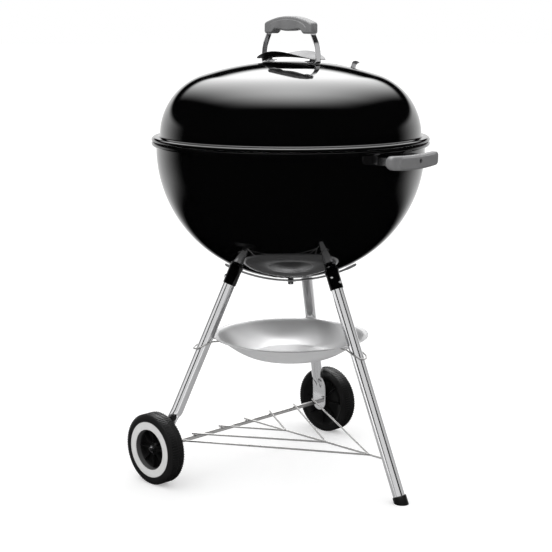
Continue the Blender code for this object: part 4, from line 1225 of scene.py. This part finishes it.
def make_clips():
    wire_r, side = 0.0015, 0.0149
    inner_z = pan_z - pan_thick - 0.0003 - wire_r - 0.0004
    leg_r = foot_r - math.tan(splay) * 0.285
    ends = [(leg_r - 0.0296, side, inner_z), (leg_r - 0.016, side, inner_z)]
    ends.append((leg_r + 0.002, side, inner_z - 0.007))
    bend = []
    for k in range(1, 16):
        a = math.pi * (0.5 - k / 16)
        drop = inner_z - 0.008 - 0.007 * math.cos(a)
        bend.append((leg_r + 0.004 + 0.0175 * math.cos(a), side * math.sin(a), drop))
    path = ends + bend + [(x, -y, z) for x, y, z in ends[::-1]]
    for name, turn in leg_turns.items():
        clip = wired(f"pan_clip_{name}", [path], wire_r, nickel, 0.003, Matrix.Rotation(turn, 4, "Z"))
        fit(clip, "base", "plated_wire", f"ash_pan_clip_{name}")


make_clips()


# The studio: a plain pale floor, a soft panel overhead and a pale backdrop low behind the grill,
# with flat lights that only bare metal or moulded plastic takes. The camera stands at the right.
camera_turn = math.radians(44.473)
camera_away = 2.8552
camera_z = 0.9689
camera_pitch = math.radians(-11.2)
lens_mm = 90.0
panel_strength = 5.2
towards = Vector((math.sin(camera_turn), -math.cos(camera_turn), 0))
rightwards = Vector((math.cos(camera_turn), math.sin(camera_turn), 0))


def make_world():
    world = bpy.data.worlds.new("studio")
    bpy.context.scene.world = world
    world.use_nodes = True
    tree = world.node_tree
    tree.nodes.clear()

    def maths(operation, *values):
        return add(tree, "ShaderNodeMath", dict(enumerate(values)), operation=operation).outputs[0]

    def rise(value, start, end):
        """0 at start and 1 at end, whichever way they run."""
        if start < end:
            limits = {"From Min": start, "From Max": end, "To Min": 0.0, "To Max": 1.0}
        else:
            limits = {"From Min": end, "From Max": start, "To Min": 1.0, "To Max": 0.0}
        kind = {"interpolation_type": "SMOOTHSTEP"}
        return add(tree, "ShaderNodeMapRange", {"Value": value, **limits}, **kind).outputs["Result"]

    def along(direction):
        dot = add(tree, "ShaderNodeVectorMath", {0: way, 1: direction}, operation="DOT_PRODUCT")
        return dot.outputs["Value"]

    way = add(tree, "ShaderNodeTexCoord").outputs["Generated"]
    near, right, up = along(towards), along(rightwards), along(Vector((0, 0, 1)))
    lift = maths("MAXIMUM", up, 0.02)
    forward = maths("DIVIDE", near, lift)
    wide = maths("ADD", lift, maths("MULTIPLY", maths("MAXIMUM", maths("MULTIPLY", near, -1.0), 0.0), 0.28))
    aside = maths("ABSOLUTE", maths("DIVIDE", right, wide))
    curved = maths("ADD", forward, maths("MULTIPLY", maths("MULTIPLY", aside, aside), 0.35))
    panel = maths("MULTIPLY", rise(curved, 0.58, -0.16), rise(forward, -5.5, -0.3))
    panel = maths("MULTIPLY", panel, rise(forward, -2.8, -2.0))
    panel = maths("MULTIPLY", panel, rise(aside, 1.05, 0.0))
    panel = maths("MULTIPLY", panel, maths("GREATER_THAN", up, 0.0))
    panel = maths("MULTIPLY", panel, panel_strength)
    flat = maths("SQRT", maths("ADD", maths("MULTIPLY", near, near), maths("MULTIPLY", right, right)))
    heading = maths("DIVIDE", near, maths("MAXIMUM", flat, 0.001))
    band = maths("MULTIPLY", rise(heading, -0.25, -0.85), rise(up, 0.22, 0.12))
    band = maths("MULTIPLY", band, rise(up, -0.46, -0.24))
    seen = maths("ADD", panel, band)
    path = add(tree, "ShaderNodeLightPath").outputs
    glossy = add(tree, "ShaderNodeBackground", {"Color": (1, 1, 1, 1), "Strength": seen})
    even = add(tree, "ShaderNodeBackground", {"Color": (1, 1, 1, 1), "Strength": 1.0})
    first = {0: path["Is Glossy Ray"], 1: even.outputs[0], 2: glossy.outputs[0]}
    chosen = add(tree, "ShaderNodeMixShader", first)
    add(tree, "ShaderNodeOutputWorld", {"Surface": chosen.outputs[0]})


def make_floor():
    bm = bmesh.new()
    bmesh.ops.create_circle(bm, cap_ends=True, segments=64, radius=40)
    made, tree, shader = plain_finish("pale_floor", (0.9, 0.9, 0.9), 0, 0.9)
    spot = add(tree, "ShaderNodeTexCoord").outputs["Object"]
    grain = add(tree, "ShaderNodeTexNoise", {"Vector": spot, "Scale": 3.0, "Detail": 3.0})
    near = shaded(tree, grain.outputs["Fac"], (0.89, 0.89, 0.89), (0.91, 0.91, 0.91))
    tree.links.new(near, shader.inputs["Base Color"])
    shader.inputs["Emission Color"].default_value = (1, 1, 1, 1)
    shader.inputs["Emission Strength"].default_value = 0.3
    shader.inputs["Specular IOR Level"].default_value = 0.0
    floor = joined("floor", bm, made)
    floor.visible_glossy = False
    floor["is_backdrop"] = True


def card(name, spot, width, height, brightness, shown_to):
    """A soft flat light that only one kind of piece takes, facing the grill's middle."""
    data = bpy.data.lights.new(name, "AREA")
    data.shape = "RECTANGLE"
    data.size, data.size_y = width, height
    data.energy = brightness * width * height * math.pi
    lamp = bpy.data.objects.new(name, data)
    bpy.context.scene.collection.objects.link(lamp)
    lamp.location = spot
    aim = Vector((0, 0, 0.4)) - lamp.location
    lamp.rotation_euler = aim.to_track_quat("-Z", "Y").to_euler()
    lamp.visible_camera = False
    lamp.light_linking.receiver_collection = shown_to
    return lamp


def pieces_in(name, finishes):
    """A collection of every shown piece in these finishes."""
    group = bpy.data.collections.new(name)
    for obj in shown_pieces():
        if obj.active_material in finishes:
            group.objects.link(obj)
    return group


def make_lights():
    bare = pieces_in("bare_metal", (chrome, bright_steel, satin_sheet, shield_sheet, pan_sheet, nickel))
    moulded = pieces_in("moulded", (nylon, tyre_plastic, hub_plastic, cap_plastic))
    up = Vector((0, 0, 1))
    card("front_card", towards * 2.3 + up * 0.7, 3.0, 2.0, 0.8, bare)
    card("left_card", towards * 0.6 - rightwards * 2.2 + up * 0.7, 1.9, 2.6, 0.95, bare)
    card("right_card", towards * 0.3 + rightwards * 2.1 + up * 0.7, 1.9, 2.6, 0.6, bare)
    card("floor_card", up * 0.002, 3.0, 3.0, 0.5, bare)
    card("top_card", towards * 0.9 + up * 2.4 - rightwards * 0.4, 1.6, 1.6, 5.5, moulded)


def make_camera():
    data = bpy.data.cameras.new("view")
    data.lens = lens_mm
    data.sensor_width = 36.0
    data.shift_x = -0.0266
    data.shift_y = 0.017
    camera = bpy.data.objects.new("view", data)
    bpy.context.scene.collection.objects.link(camera)
    camera.location = towards * camera_away + Vector((0, 0, camera_z))
    camera.rotation_euler = (math.pi / 2 + camera_pitch, 0, camera_turn)
    bpy.context.scene.camera = camera


make_world()
make_floor()
make_lights()
make_camera()
bpy.context.scene.view_settings.view_transform = "Standard"
